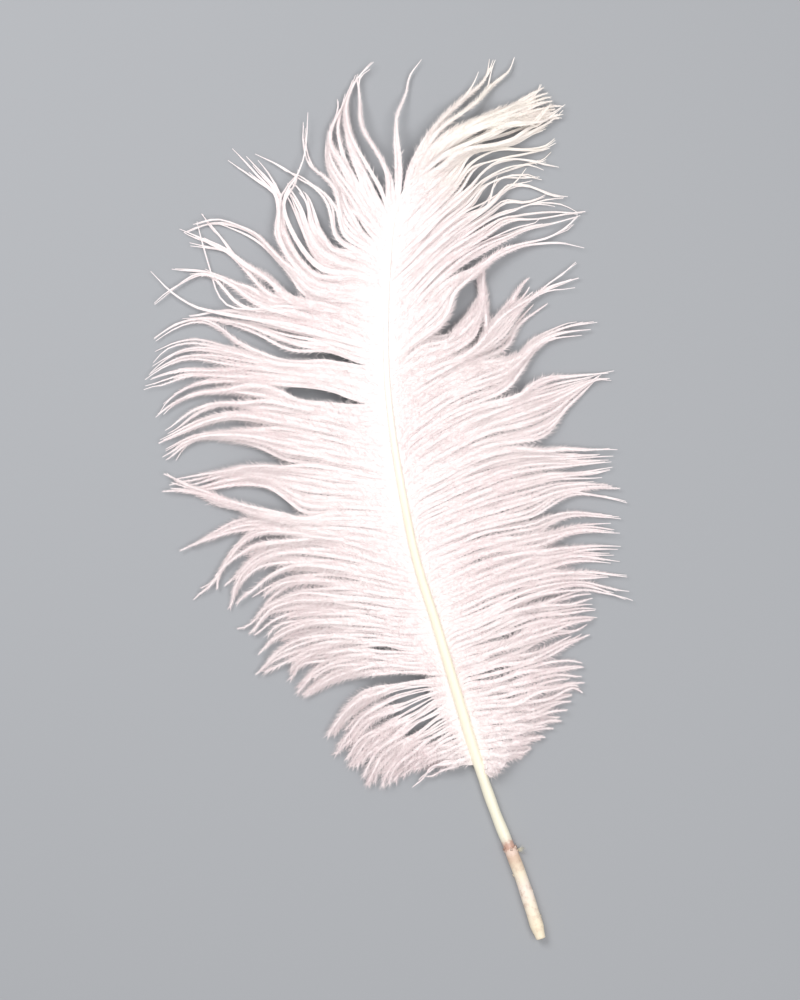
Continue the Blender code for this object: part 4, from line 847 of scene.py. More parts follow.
def map_from_above(made, points, triangles):
    """A UV map that looks straight down on the piece, so that colours baked on it follow its place."""
    flat = points[:, :2]
    flat = (flat - flat.min(axis=0)) / np.ptp(flat, axis=0)
    corners = flat[triangles.ravel()].astype(np.float32).ravel()
    made.data.uv_layers.new(name=UV_MAP).data.foreach_set("uv", corners)


def tube_triangles(count, stations, sides):
    """Triangles of `count` tubes whose points are (tube, station, side), with a fan over each end."""
    ring = np.arange(sides)
    ahead = (ring + 1) % sides
    step = np.arange(stations - 1)[:, None] * sides
    a, b = step + ring, step + ahead
    walls = np.concatenate([np.stack([a, a + sides, b], -1), np.stack([b, a + sides, b + sides], -1)])
    walls = walls.reshape(-1, 3)
    fan = np.stack([np.zeros(sides - 2, int), ring[1:-1], ring[2:]], axis=-1)
    last = (stations - 1) * sides
    one = np.concatenate([walls, fan, fan[:, ::-1] + last])
    return (np.arange(count)[:, None, None] * stations * sides + one).reshape(-1, 3)


def tubes(paths, half_width, flatness, sides):
    """Points of flattened tubes: an ellipse set square to each point of each path, its long axis level.

    A point is the path's plus half of the width times (right cos t - up flatness sin t). paths is (tube,
    station, 3), half_width is (tube, station), and flatness is height over width.
    """
    ahead = unit(np.gradient(paths, axis=1))
    right = side_of(ahead)
    up = np.cross(right, ahead)
    turn = np.arange(sides) * 2 * math.pi / sides + math.pi / 2
    ring = right[:, :, None] * np.cos(turn)[:, None] - up[:, :, None] * flatness * np.sin(turn)[:, None]
    return paths[:, :, None] + ring * half_width[:, :, None, None]


def spikes(foot, ahead, length, width, flatness):
    """Thin closed spikes: a flat triangle at the foot drawn out to one point ahead."""
    right = unit(np.cross(ahead, UP))
    up = np.cross(right, ahead)
    half = (width / 2)[:, None]
    low = foot - up * half * flatness / 2
    ridge = foot + up * half * flatness
    points = np.stack([low - right * half, low + right * half, ridge, foot + ahead * length[:, None]], axis=1)
    one = np.array([[0, 1, 2], [1, 0, 3], [2, 1, 3], [0, 2, 3]])
    triangles = (np.arange(len(foot))[:, None, None] * 4 + one).reshape(-1, 3)
    return points.reshape(-1, 3), triangles


# --- partings ---


def parting_lines(partings):
    """Each parting as evenly cut rows of x, y and half of its width."""
    return [curve_through(np.reshape(values, (-1, 3)), PARTING_STATIONS) for values in partings]


def beside(line, points):
    """How far points are to the left of a parting's middle, its half width there, how far they are past
    its ends, and the level direction to its left."""
    nearest = np.argmin(((points[..., None, :] - line[:, :2]) ** 2).sum(axis=-1), axis=-1)
    along = unit(np.gradient(line[:, :2], axis=0))[nearest]
    offset = points - line[nearest, :2]
    left = np.stack([-along[..., 1], along[..., 0]], axis=-1)
    ahead = (along * offset).sum(axis=-1)
    past = np.where(nearest == 0, -ahead, np.where(nearest == len(line) - 1, ahead, 0.0))
    return (left * offset).sum(axis=-1), np.maximum(line[nearest, 2], 0.0), np.maximum(past, 0.0), left


def stand_aside(flat, share, partings, room):
    """Barbs moved off the partings, each to its own side of every parting.

    A point at distance u from a parting's middle goes to h + u (R - h) / R, where h is half of the
    parting with room for barbules and R is how far its push reaches. A barb's side is the one that more
    of its outer length is on. A second pass moves only what the first left inside.
    """
    for push in (PUSH, 0.0):
        moved = np.zeros_like(flat)
        for line in partings:
            u, half, past, left = beside(line, flat)
            h = (half + room * ease(half / ROOM_AT)) * (1.0 - ease(past / PUSH_ENDS_OVER))
            reach = h + push + PUSH_GROWS * h * (push > 0)
            weight = half * share**2 * (np.abs(u) < reach + SIDE_FROM) * (past < SIDE_PAST)
            hand = np.where((weight * u).sum(axis=1) >= 0.0, 1.0, -1.0)[:, None]
            on = u * hand
            to = h + np.clip(on, 0.0, None) * (reach - h) / np.maximum(reach, 1e-6)
            shift = np.where((on < reach) & (on > -reach - WRONG_SIDE), to - on, 0.0) * (h > LEAST_PARTING)
            shift *= (weight.sum(axis=1) > 0.0)[:, None]
            moved += left * (shift * hand)[..., None]
        for _ in range(SMOOTHINGS):
            inner = (moved[:, :-2] + 2.0 * moved[:, 1:-1] + moved[:, 2:]) / 4.0
            moved = np.concatenate([moved[:, :1], inner, moved[:, -1:]], axis=1)
        flat = flat + moved
    return flat


def depth_inside(partings, points):
    """How deep points lie inside any parting, in millimetres, and less than zero outside."""
    deep = np.full(len(points), -np.inf)
    for line in partings:
        margin = line[:, 2].max() + AROUND_PARTING
        near = (points > line[:, :2].min(axis=0) - margin) & (points < line[:, :2].max(axis=0) + margin)
        near = np.flatnonzero(near.all(axis=1))
        u, half, past, _ = beside(line, points[near])
        deep[near] = np.maximum(deep[near], half - np.abs(u) - past)
    return deep


# --- barbs ---


def lock_guides(shaft, locks):
    """The middle line of each lock as (lock, station, 2), from the shaft's centre to its tip."""
    roots = shaft.centre(shaft.share_at([lock[0] for lock in locks]))
    lines = [np.vstack([root, np.reshape(lock[3:], (-1, 2))]) for root, lock in zip(roots, locks)]
    return np.array([curve_through(line, GUIDE_STATIONS) for line in lines])


def thinness(share):
    """How much of the barbules may be missing at a share of a barb's length: all in a stretch of it."""
    starts, ends = THIN_BLENDS
    return ease((share - THIN_FROM) / starts) * (1.0 - ease((share - THIN_TO) / ends))


def brushiness(y):
    """How far barbs with roots at a place along Y are brushy lower ones."""
    return ease((BRUSHY_TO + BRUSHY_BLEND - y) / (2.0 * BRUSHY_BLEND))


def at_end(share):
    """Rises from 0 to 1 near a barb's tip."""
    return ease((share - NEAR_TIP) / NEAR_TIP_OVER)


def full_by(end_width, limits):
    """Rises from 0 to 1 with the width of a lock's end."""
    start, over = limits
    return ease((end_width - start) / over)


def varied(height, own, locks, random):
    """A least height, with what each lock and each barb adds to it at random."""
    least, by_lock, by_barb = height
    return least + by_lock * random.random(locks)[own] + by_barb * random.random(len(own))


def stand_barbs(shaft, locks, spacing, random):
    """For each barb: its share of the shaft's length, the lock below it, how far it stands from that
    lock towards the next, and the lock that it belongs to.

    Barbs start at even steps along the shaft, closer where many locks leave it.
    """
    root_shares = shaft.share_at([lock[0] for lock in locks])
    barbs = np.maximum(np.diff(root_shares) * shaft.length / spacing, LEAST_BARBS)
    before = np.concatenate([[0.0], np.cumsum(barbs)])
    count = int(before[-1])
    stray = random.uniform(-ROOTS_STRAY, ROOTS_STRAY, count)
    number = (np.arange(count) + 0.5 + stray) / count * before[-1]
    start = np.interp(number, before, root_shares)
    under = np.clip(np.searchsorted(before, number) - 1, 0, len(locks) - 2)
    toward = (number - before[under]) / barbs[under]
    lone = np.array([lock[1] for lock in locks]) >= CROSSES
    change = 0.5 + LONE_TAKES_LESS * lone[under + 1] - LONE_TAKES_LESS * lone[under]
    own = under + (toward + random.uniform(-OWN_STRAYS, OWN_STRAYS, count) > change)
    return start, under, toward, own


def barb_paths(shaft, locks, partings, spacing, sparse, random):
    """The centrelines of a vane's barbs as (barb, station, 3), with the lock and root of each.

    Each barb first runs between the guides of the locks beside it, at equal distances from the shaft
    along both, then leans over to the middle line of its own lock where the two part, keeps a little way
    off that line, and stands aside from the partings. Its height goes from the shaft's side over a low
    arch to just above the surface.
    """
    guides = lock_guides(shaft, locks)
    guide_length = lengths_of(guides)
    start, under, toward, own = stand_barbs(shaft, locks, spacing, random)
    count = len(start)
    y = shaft.centre(start)[:, 1]
    lift = np.array([lock[1] for lock in locks])[own]
    end_width = np.array([lock[2] for lock in locks])[own]
    lone = lift >= CROSSES

    reach = 1.0 - SHORT_BY * random.random(count) ** SHORT_POWER
    reach[np.unique(own, return_index=True)[1]] = 1.0  # one barb of each lock goes to its very end
    reach -= SPLAY / guide_length[own] * full_by(end_width, BLUNT_BY)
    share = np.linspace(0.0, 1.0, BARB_STATIONS) * reach[:, None]
    far = share * guide_length[own][:, None]
    rows = np.broadcast_to(under[:, None], share.shape)
    below = read_along(guides, rows, far / guide_length[under][:, None])
    above = read_along(guides, rows + 1, far / guide_length[under + 1][:, None])
    between = below + (above - below) * toward[:, None, None]
    between += ((shaft.centre(start) - between[:, 0])[:, None]) * (1.0 - ease(share / FANS_OVER))[..., None]
    middle = read_along(guides, np.broadcast_to(own[:, None], share.shape), share)
    parted = ease((np.linalg.norm(above - below, axis=2) - JOINS_FROM) / (JOINS_AT - JOINS_FROM))
    loose = BRUSHY_GATHER + (LOOSE_GATHER - BRUSHY_GATHER) * ease((y - BRUSHY_TO) / GATHER_BLEND)
    loose = loose[:, None] * ease((share - GATHER_FROM) / GATHER_OVER)
    gather = np.maximum(np.maximum.accumulate(parted, axis=1), loose)
    joined = np.maximum(gather, ease((share - LONE_FROM) / LONE_OVER))
    gather = np.where(lone[:, None], joined, gather)[..., None]
    flat = between * (1.0 - gather) + middle * gather

    ahead = unit(np.gradient(flat, axis=1))
    right = np.stack([ahead[..., 1], -ahead[..., 0]], axis=-1)
    off = random.uniform(-0.5, 0.5, count) * end_width
    phases = random.uniform(0.0, 2 * math.pi, (2, count, 1))
    brushy = brushiness(y)[:, None]
    sway = sum(
        (size + more * brushy) * np.sin(waves * share + phase)
        for (size, more, waves), phase in zip(SWAYS, phases)
    )
    flat = flat + right * (off[:, None] * ease(share / WIDE_FROM) + sway * ease(share / SWAYS_FROM))[..., None]
    thin = thinness(share) * np.interp(y, *sparse)[:, None]
    room = ROOM * (1.0 - TIP_ROOM_LESS * at_end(share)) * (1.0 - THIN_LESS * thin)
    flat[~lone] = stand_aside(flat[~lone], share[~lone], partings, room[~lone])

    root_z = shaft.underside(start) + ROOT_HEIGHT * shaft.width(start)
    tip_z = varied(TIP_HEIGHT, own, len(locks), random) + lift
    arch = varied(ARCH_HEIGHT, own, len(locks), random) + lift
    down = np.clip(share / LANDS_AT, 0.0, 1.0)
    z = root_z[:, None] + (tip_z - root_z)[:, None] * ease(down) + arch[:, None] * np.sin(math.pi * down)
    phase = random.uniform(0.0, 2 * math.pi, (count, 1))
    z += RIPPLE * ease(share / RIPPLES_FROM) * np.sin(RIPPLE_WAVES * share + phase)
    return np.concatenate([flat, z[..., None]], axis=-1), own, y


class Barbs:
    """The barbs of one piece: their centrelines, and what their locks and places make of them."""

    def __init__(self, shaft, locks, partings, settings, bare, sparse, random):
        self.settings = settings
        self.partings = partings
        self.paths, own, self.y = barb_paths(shaft, locks, partings, settings.barb_spacing, sparse, random)
        self.count = len(self.paths)
        self.lengths = lengths_of(self.paths)
        self.sparse = np.interp(self.y, *sparse)
        self.crosses = np.array([lock[1] for lock in locks])[own] >= CROSSES
        end_width = np.array([lock[2] for lock in locks])[own]
        self.massed = full_by(end_width, MASSED_BY)
        self.thread = 1.0 - full_by(end_width, THREAD_BY)
        blunt = full_by(end_width, BLUNT_BY)
        bare = np.interp(self.y, *bare)
        self.full_to = 1.0 - bare * np.where(bare > 0.0, 1.0 - blunt, 1.0) + BLUNT_PAST * blunt
        covers = 1.0 - ease((self.y - BARBS_COVER_FROM) / (BARBS_COVER_AT - BARBS_COVER_FROM))
        self.full_from = LEAVES_AFTER * shaft.width(shaft.share_at(self.y)) * covers / self.lengths

    def barb_tubes(self, random):
        """Flattened tubes, and the painted shade of each of their points.

        A tube is as wide as a bare tip and, by how matted the down there is, up to the full width; it is
        narrower where barbules are missing, and comes to a point at its end.
        """
        t = np.linspace(0.0, 1.0, BARB_STATIONS)
        matted = 1.0 - ease((t - MATTED_TO - MASSED_MATTED_TO * self.massed[:, None]) / MATTED_ENDS_OVER)
        matted = matted * random.uniform(*MATTED_VARIES, (self.count, BARB_STATIONS))
        tip_width = self.settings.barb_tip_width
        wide = tip_width + (self.settings.barb_width - tip_width) * matted
        wide = wide * (1.0 - THIN_BARB_LESS * thinness(t) * self.sparse[:, None])
        wide = wide * (1.0 - TIP_NARROWER * ease((t - TIP_POINTS_FROM) / TIP_POINTS_OVER))
        points = tubes(self.paths, wide / 2, BARB_FLATNESS, BARB_SIDES).reshape(-1, 3)
        # Painted shade: undersides and edges darker than the ridge, more so on the barb's outer part
        inner = INNER_SHADE + (1.0 - INNER_SHADE) * ease((t - OUTER_SHADE_FROM) / OUTER_SHADE_OVER)
        shade = np.tile(inner[:, None] * np.array(SIDE_SHADES), (self.count, 1)).ravel()
        return points, tube_triangles(self.count, BARB_STATIONS, BARB_SIDES), shade

    def place_barbules(self, random):
        """For each barbule: its barb, the share along it, its side as 1 or -1, and its share of the full
        length. Barbules alternate between the barb's sides."""
        per_side = np.maximum((self.lengths / self.settings.barbule_spacing).astype(int), 2)
        on = np.repeat(np.arange(self.count), 2 * per_side)
        order = np.arange(len(on)) - np.repeat(np.cumsum(2 * per_side) - 2 * per_side, 2 * per_side)
        share = ((order // 2 + random.random(len(on))) / per_side[on]) ** CROWDS_OUTWARD
        hand = np.where(order % 2 == 0, 1.0, -1.0)
        left = np.clip((self.full_to[on] - share) / TAPERS_OVER, 0.0, 1.0)
        full = ease((share - self.full_from[on] + LEAVES_BEFORE) / LEAVES_OVER) * left**TAPER_POWER
        full *= 1.0 - THIN_LESS * thinness(share) * self.sparse[on]
        full *= 1.0 - THREAD_SHORTER * self.thread[on] * ease((share - THREAD_FROM) / THREAD_OVER)
        kept = full > LEAST_FULL
        return on[kept], share[kept], hand[kept], full[kept]

    def aim_barbules(self, on, share, hand, random):
        """Where barbules stand and point: ahead along their barb, opened out to its side."""
        foot = read_along(self.paths, on, share)
        ahead = unit(read_along(np.gradient(self.paths, axis=1), on, share))
        side = side_of(ahead)
        high = ease((self.y[on] - HIGH_FROM) / HIGH_OVER)
        opens = MASSED_OPENS * self.massed[on] * ease(share / OPENS_BY)
        opens = opens * (1.0 - ease((share - OPENS_TO) / OPENS_TO_OVER)) * (1.0 - high)
        angle = self.settings.barbule_angle + ANGLE_GROWS * share + BRUSHY_OPENS * brushiness(self.y[on])
        spread = np.radians(random.normal(angle + opens, ANGLE_VARIES - HIGH_VARIES_LESS * high))
        spread *= 1.0 - TIP_CLOSES * at_end(share)
        rise = np.radians(random.normal(*RISE, len(on)))
        away = side * hand[:, None] * np.cos(rise)[:, None] + np.cross(side, ahead) * np.sin(rise)[:, None]
        return foot, unit(ahead * np.cos(spread)[:, None] + away * np.sin(spread)[:, None])

    def barbules(self, random):
        """Fine spikes, with a darkening for each and the barb that it stands on; the darkening is a random tone
        for each spike, made stronger towards the barb's tip as painted shade.

        A spike's length is the full one times its share of it and a random part, less on crossing and
        short barbs, and less by how deep its middle or its end lies in a parting.
        """
        on, share, hand, full = self.place_barbules(random)
        foot, aim = self.aim_barbules(on, share, hand, random)
        crosses = self.crosses[on]
        size = SHORT_BARB_LEAST + (1.0 - SHORT_BARB_LEAST) * ease(self.lengths[on] / SHORT_BARB)
        long = self.settings.barbule_length * full * random.uniform(*LENGTH_VARIES, len(on))
        long *= np.where(crosses, CROSSING_SHORTER, 1.0) * size
        half_way, end = (foot + aim * (part * long)[:, None] for part in (0.5, 1.0))
        deep = depth_inside(self.partings, half_way[:, :2]) + HALF_WAY_MARGIN
        deep = np.maximum(deep, depth_inside(self.partings, end[:, :2]))
        deep -= random.exponential(STRAY_OVER, len(on))
        long *= np.where(crosses, 1.0, 1.0 - SHORTENS * ease(deep / SHORTENS_OVER))
        at_root, narrows = FOOT_WIDTHS
        wide = self.settings.barbule_width * random.uniform(*WIDTH_VARIES, len(on))
        wide = wide * (at_root - narrows * share)
        points, triangles = spikes(foot, aim, long, wide, SPIKE_FLATNESS)
        # Random tone for each barbule, and painted shade that grows towards the barb's tip
        outer = BARBULE_SHADE + (1.0 - BARBULE_SHADE) * ease((share - BARBULE_SHADE_FROM) / OUTER_SHADE_OVER)
        shade = random.random(len(on)) ** BARBULE_SHADE_POWER * outer
        return points, triangles, shade, on


def vane(name, shaft, locks, partings, settings, bare, sparse, seed, material):
    """One piece of the plume's vane: its barbs as flattened tubes and their barbules as fine spikes.

    For places of barbs' roots along Y, bare gives the share of a barb that carries no barbules at its
    tip, and sparse how far the barbules are missing between THIN_FROM and THIN_TO.
    """
    random = np.random.default_rng(seed)
    barbs = Barbs(shaft, locks, parting_lines(partings), settings, bare, sparse, random)
    barb_points, barb_faces, barb_shade = barbs.barb_tubes(random)
    tint = random.random(barbs.count)
    spike_points, spike_faces, spike_shade, on = barbs.barbules(random)

    points = np.concatenate([barb_points, spike_points])
    points[:, 2] = np.maximum(points[:, 2], LEAST_HEIGHT)
    faces = np.concatenate([barb_faces, spike_faces + len(barb_points)])
    per_barb = BARB_STATIONS * BARB_SIDES
    values = {
        "tint": np.concatenate([np.repeat(tint, per_barb), np.repeat(tint[on], 4)]),
        # painted shade of each point, which the material mixes in
        "shade": np.concatenate([barb_shade, np.repeat(spike_shade, 4)]),
        "low": np.concatenate([np.repeat(barbs.y, per_barb), np.repeat(barbs.y[on], 4)]),
    }
    map_from_above(put_mesh(name, points, faces, values, material, False), points, faces)


# --- the shaft ---


def shaft_surface(shaft):
    """Points of the shaft as (station, side, 3), and where along the quill's colours each is.

    Each ring is a superellipse: its radius is half of the shaft's width times
    (|cos t|^p + |sin t|^p)^(-1/p), where p is 2 on the quill and grows further up. A bell-shaped groove is
    pressed into the underside. A thin dry sheath thickens the quill up to a ragged edge. The rings shrink
    towards the cut end, and three more inside it make the mouth of the hollow quill.
    """
    along = shaft.share * shaft.length
    ahead = unit(np.concatenate([np.gradient(shaft.line, axis=0), np.zeros((SHAFT_STATIONS, 1))], axis=1))
    turn = np.arange(SHAFT_SIDES) * 2 * math.pi / SHAFT_SIDES
    square = ease((along - SQUARE_FROM) / (SQUARE_TO - SQUARE_FROM))[:, None]
    power = 2.0 + SQUARER * square
    round_it = (np.abs(np.cos(turn)) ** power + np.abs(np.sin(turn)) ** power) ** (-1.0 / power)
    groove = np.exp(-(((turn - GROOVE_AT) / GROOVE_TURN) ** 2)) * GROOVE_DEPTH * square
    edge = np.full(SHAFT_SIDES, SHEATH_TO)
    for height, waves, phase in SHEATH_EDGE_WAVES:
        edge = edge + height * np.sin(waves * turn + phase)
    sheath = SHEATH_THICK * (1.0 - ease((along[:, None] - edge + SHEATH_EDGE_FROM) / SHEATH_EDGE_OVER))
    lumps = LUMP_HEIGHT * np.sin(along[:, None] * LUMP_WAVES + LUMP_TWIST * np.sin(turn)) * (1.0 - square)
    end = QUILL_END_LOSS * (1.0 - ease(along / QUILL_END_ROUNDING))[:, None]
    bare = (shaft.width(shaft.share) / 2 - SHEATH_THICK)[:, None] + SHEATH_THICK * square
    radius = (bare + sheath + lumps) * round_it * (1.0 - groove) * (1.0 - end)
    centre = shaft.middle(shaft.share)
    ring = side_of(ahead)[:, None] * np.cos(turn)[:, None] + UP * np.sin(turn)[:, None]
    points = centre[:, None] + ring * radius[..., None]
    mouth = [centre[0] + ring[0] * (radius[0] * part)[:, None] + ahead[0] * deep for part, deep, _ in MOUTH]
    points = np.concatenate([np.stack(mouth), points])
    along = np.concatenate([[colour_at for _, _, colour_at in MOUTH], along])
    return points, np.broadcast_to(along[:, None], points.shape[:2])


def sheath_flakes(shaft, random):
    """Dry chips that stand off the quill, most of them at the sheath's edge, and how far along each is."""
    at_edge = random.normal(SHEATH_TO - FLAKES_BELOW_EDGE, FLAKES_STRAY, EDGE_FLAKES)
    along = np.concatenate([at_edge, random.uniform(*FLAKES_ALONG, SHEATH_FLAKES)])
    count = len(along)
    turn = random.uniform(*FLAKES_ROUND, count)
    share = along / shaft.length
    step = shaft.centre(share + FLAKE_STEP) - shaft.centre(share)
    ahead = unit(np.concatenate([step, np.zeros((count, 1))], axis=1))
    out = side_of(ahead) * np.cos(turn)[:, None] + UP * np.sin(turn)[:, None]
    foot = shaft.middle(share) + out * (shaft.width(share) / 2 - FLAKE_SUNK)[:, None]
    leans_ahead = random.uniform(*FLAKE_AHEAD, count)[:, None]
    leans_out = random.uniform(*FLAKE_OUT, count)[:, None]
    aim = unit(ahead * leans_ahead + out * leans_out)
    length = random.uniform(*FLAKE_LENGTH, count)
    width = random.uniform(*FLAKE_WIDTH, count)
    return spikes(foot, aim, length, width, FLAKE_FLATNESS), along


def downy_wisp(shaft, random):
    """A tuft of soft down that grows beside the sheath's edge."""
    x, y = shaft.centre((SHEATH_TO - WISP_BELOW_EDGE) / shaft.length)
    to_right, further, above = WISP_FOOT
    foot = np.array([x + to_right, y + further, above]) + random.normal(0.0, WISP_STRAY, (WISP_HAIRS, 3))
    heading = np.radians(random.normal(*WISP_HEADING, WISP_HAIRS))
    rise = random.normal(*WISP_RISE, WISP_HAIRS)
    aim = unit(np.stack([np.cos(heading), np.sin(heading), rise], axis=1))
    length = random.uniform(*WISP_LENGTH, WISP_HAIRS)
    return spikes(foot, aim, length, np.full(WISP_HAIRS, WISP_WIDTH), WISP_FLATNESS)


def build_shaft(settings, material):
    """The quill and shaft, with the flakes on its sheath and the wisp of down."""
    shaft = Shaft(settings.quill_width, settings.tip_width)
    random = np.random.default_rng(SHAFT_SEED)
    rings, along = shaft_surface(shaft)
    points = rings.reshape(-1, 3)
    (flake_points, flake_faces), flake_along = sheath_flakes(shaft, random)
    wisp_points, wisp_faces = downy_wisp(shaft, random)
    flake_faces = flake_faces + len(points)
    wisp_faces = wisp_faces + len(points) + len(flake_points)
    faces = np.concatenate([tube_triangles(1, len(rings), SHAFT_SIDES)[:, ::-1], flake_faces, wisp_faces])
    points = np.concatenate([points, flake_points, wisp_points])
    points[:, 2] = np.maximum(points[:, 2], 0.0)
    wisp_along = np.full(len(wisp_points), WISP_COLOUR_AT)
    reach = np.concatenate([along.ravel(), np.repeat(flake_along, 4), wisp_along])
    put_mesh("shaft", points, faces, {"along": reach}, material, True)


# --- materials ---

HORN_IOR = 1.54  # keratin's
# How far across the patterns are. Fibres and streaks are coarser than life, so that they show.
PINK_PATCH = 22.2
FIBRE = 0.769
STREAK = 0.385
SHEATH_SPOT = 1.923
BAND_WANDER = 1.111
CREAMY_AT = (40.0, 121.0, 6.0)  # the middle of the creamy tip, and how far from it the cream fades
CREAMY_TO = 12.0
CREAM_ENDS = 40.0
# The quill's colours: places as shares of BANDS_OVER, and sRGB hex colours. From CLEAN_FROM on it has the
# clean shaft's.
BANDS_OVER = 40.0
QUILL_BANDS = (
    (0.0, "#FFF0D6"), (0.09, "#FFF0D4"), (0.28, "#FFF0DC"), (0.42, "#FFEFE2"), (0.55, "#FAEBD3"),
    (0.64, "#E8D0B8"), (0.69, "#E2C4AE"), (0.72, "#F2D8C8"), (0.745, "#EED2C2"), (0.765, "#CFA593"),
    (0.8, "#D3AC9B"), (0.83, "#F0E4D2"),
)
CLEAN_FROM = 0.87
SPOT_COLOUR = "#C8A48F"
STREAK_COLOUR = "#F0E8D8"
UPPER_SHAFT = "#FFFEFC"
MIXED = 2  # the output of a Mix node that holds its colour; its inputs 6 and 7 are the two colours


def linear(hex_colour):
    """Linear RGBA from an sRGB hex colour: c / 12.92 for dark values, ((c + 0.055) / 1.055)^2.4 for others."""
    c = np.array([int(hex_colour[i : i + 2], 16) / 255 for i in (1, 3, 5)])
    c = np.where(c <= 0.04045, c / 12.92, ((c + 0.055) / 1.055) ** 2.4)
    return (*c.tolist(), 1.0)


def fill(tree, node, inputs):
    """Sets a node's inputs to values or links them to other nodes."""
    for key, value in inputs.items():
        if isinstance(value, bpy.types.NodeSocket):
            tree.links.new(value, node.inputs[key])
        else:
            node.inputs[key].default_value = value


def add(tree, kind, inputs, output=0, ramp=(), **settings):
    """Adds a node, sets what it holds, fills its inputs, and gives one of its outputs."""
    node = tree.nodes.new("ShaderNode" + kind)
    for key, value in settings.items():
        setattr(node, key, value)
    fill(tree, node, inputs)
    if ramp:
        elements = node.color_ramp.elements
        while len(elements) < len(ramp):
            elements.new(0.5)
        for element, (place, hex_colour) in zip(elements, ramp):
            element.position = place
            element.color = linear(hex_colour)
    return node.outputs[output]


def new_material(name):
    """A material, its node tree and its shader."""
    material = bpy.data.materials.new(name)
    material.use_nodes = True
    tree = material.node_tree
    return material, tree, tree.nodes["Principled BSDF"]


def down_keratin(settings):
    """Bleached ostrich down: matt white keratin, faintly pink in places and creamy at the tip.

    Fine loose fibres scatter light many times, so the surface is rough with a soft sheen. Painted shade mixes a
    pinkish grey into the barbs' undersides, edges and outer parts, more on the lower barbs.
    """
    material, tree, shader = new_material(DOWN)
    white, blush = linear(settings.white), linear(settings.blush)
    cream, shade = linear(settings.cream), linear(settings.shade)
    place = add(tree, "TexCoord", {}, "Object")
    scale = 1.0 / (PINK_PATCH * MM)
    patch = add(tree, "TexNoise", {"Vector": place, "Scale": scale, "Detail": 3.0, "Roughness": 0.6})
    patch = add(tree, "MapRange", {"Value": patch, "From Min": 0.38, "From Max": 0.66})
    patch = add(tree, "MapRange", {"Value": patch, "To Min": 0.35, "To Max": 1.0})
    scale = 1.0 / (FIBRE * MM)
    fibre = add(tree, "TexNoise", {"Vector": place, "Scale": scale, "Detail": 4.0, "Roughness": 0.7})
    fibre = add(tree, "MapRange", {"Value": fibre, "From Min": 0.4, "From Max": 0.64})
    pink = add(tree, "Math", {0: fibre, 1: patch}, operation="MULTIPLY")
    colour = add(tree, "Mix", {0: pink, 6: white, 7: blush}, MIXED, data_type="RGBA")
    middle = [MM * v for v in CREAMY_AT]
    away = add(tree, "VectorMath", {0: place, 1: middle}, "Value", operation="DISTANCE")
    fades = {"From Min": CREAMY_TO * MM, "From Max": CREAM_ENDS * MM, "To Min": 0.7, "To Max": 0.0}
    creamy = add(tree, "MapRange", {"Value": away, **fades})
    colour = add(tree, "Mix", {0: creamy, 6: colour, 7: cream}, MIXED, data_type="RGBA")
    tint = add(tree, "Attribute", {}, "Fac", attribute_name="tint")
    pale = add(tree, "MapRange", {"Value": tint, "To Max": 0.4})
    colour = add(tree, "Mix", {0: pale, 6: colour, 7: white}, MIXED, data_type="RGBA")
    # Painted shade: each point's shade value, stronger on barbs that leave the shaft lower down, mixes in the
    # shade colour
    painted_shade = add(tree, "Attribute", {}, "Fac", attribute_name="shade")
    low = add(tree, "Attribute", {}, "Fac", attribute_name="low")
    painted_shade_strength = {"Value": low, "From Min": -10.0, "From Max": -50.0, "To Min": 0.36, "To Max": 0.66}
    painted_shade = add(tree, "Math", {0: painted_shade, 1: add(tree, "MapRange", painted_shade_strength)}, operation="MULTIPLY")
    colour = add(tree, "Mix", {0: painted_shade, 6: colour, 7: shade}, MIXED, data_type="RGBA")
    fill(tree, shader, {"Base Color": colour, "Roughness": 0.6, "IOR": HORN_IOR, "Specular IOR Level": 0.35})
    fill(tree, shader, {"Sheen Weight": 0.25, "Sheen Roughness": 0.45})
    return material


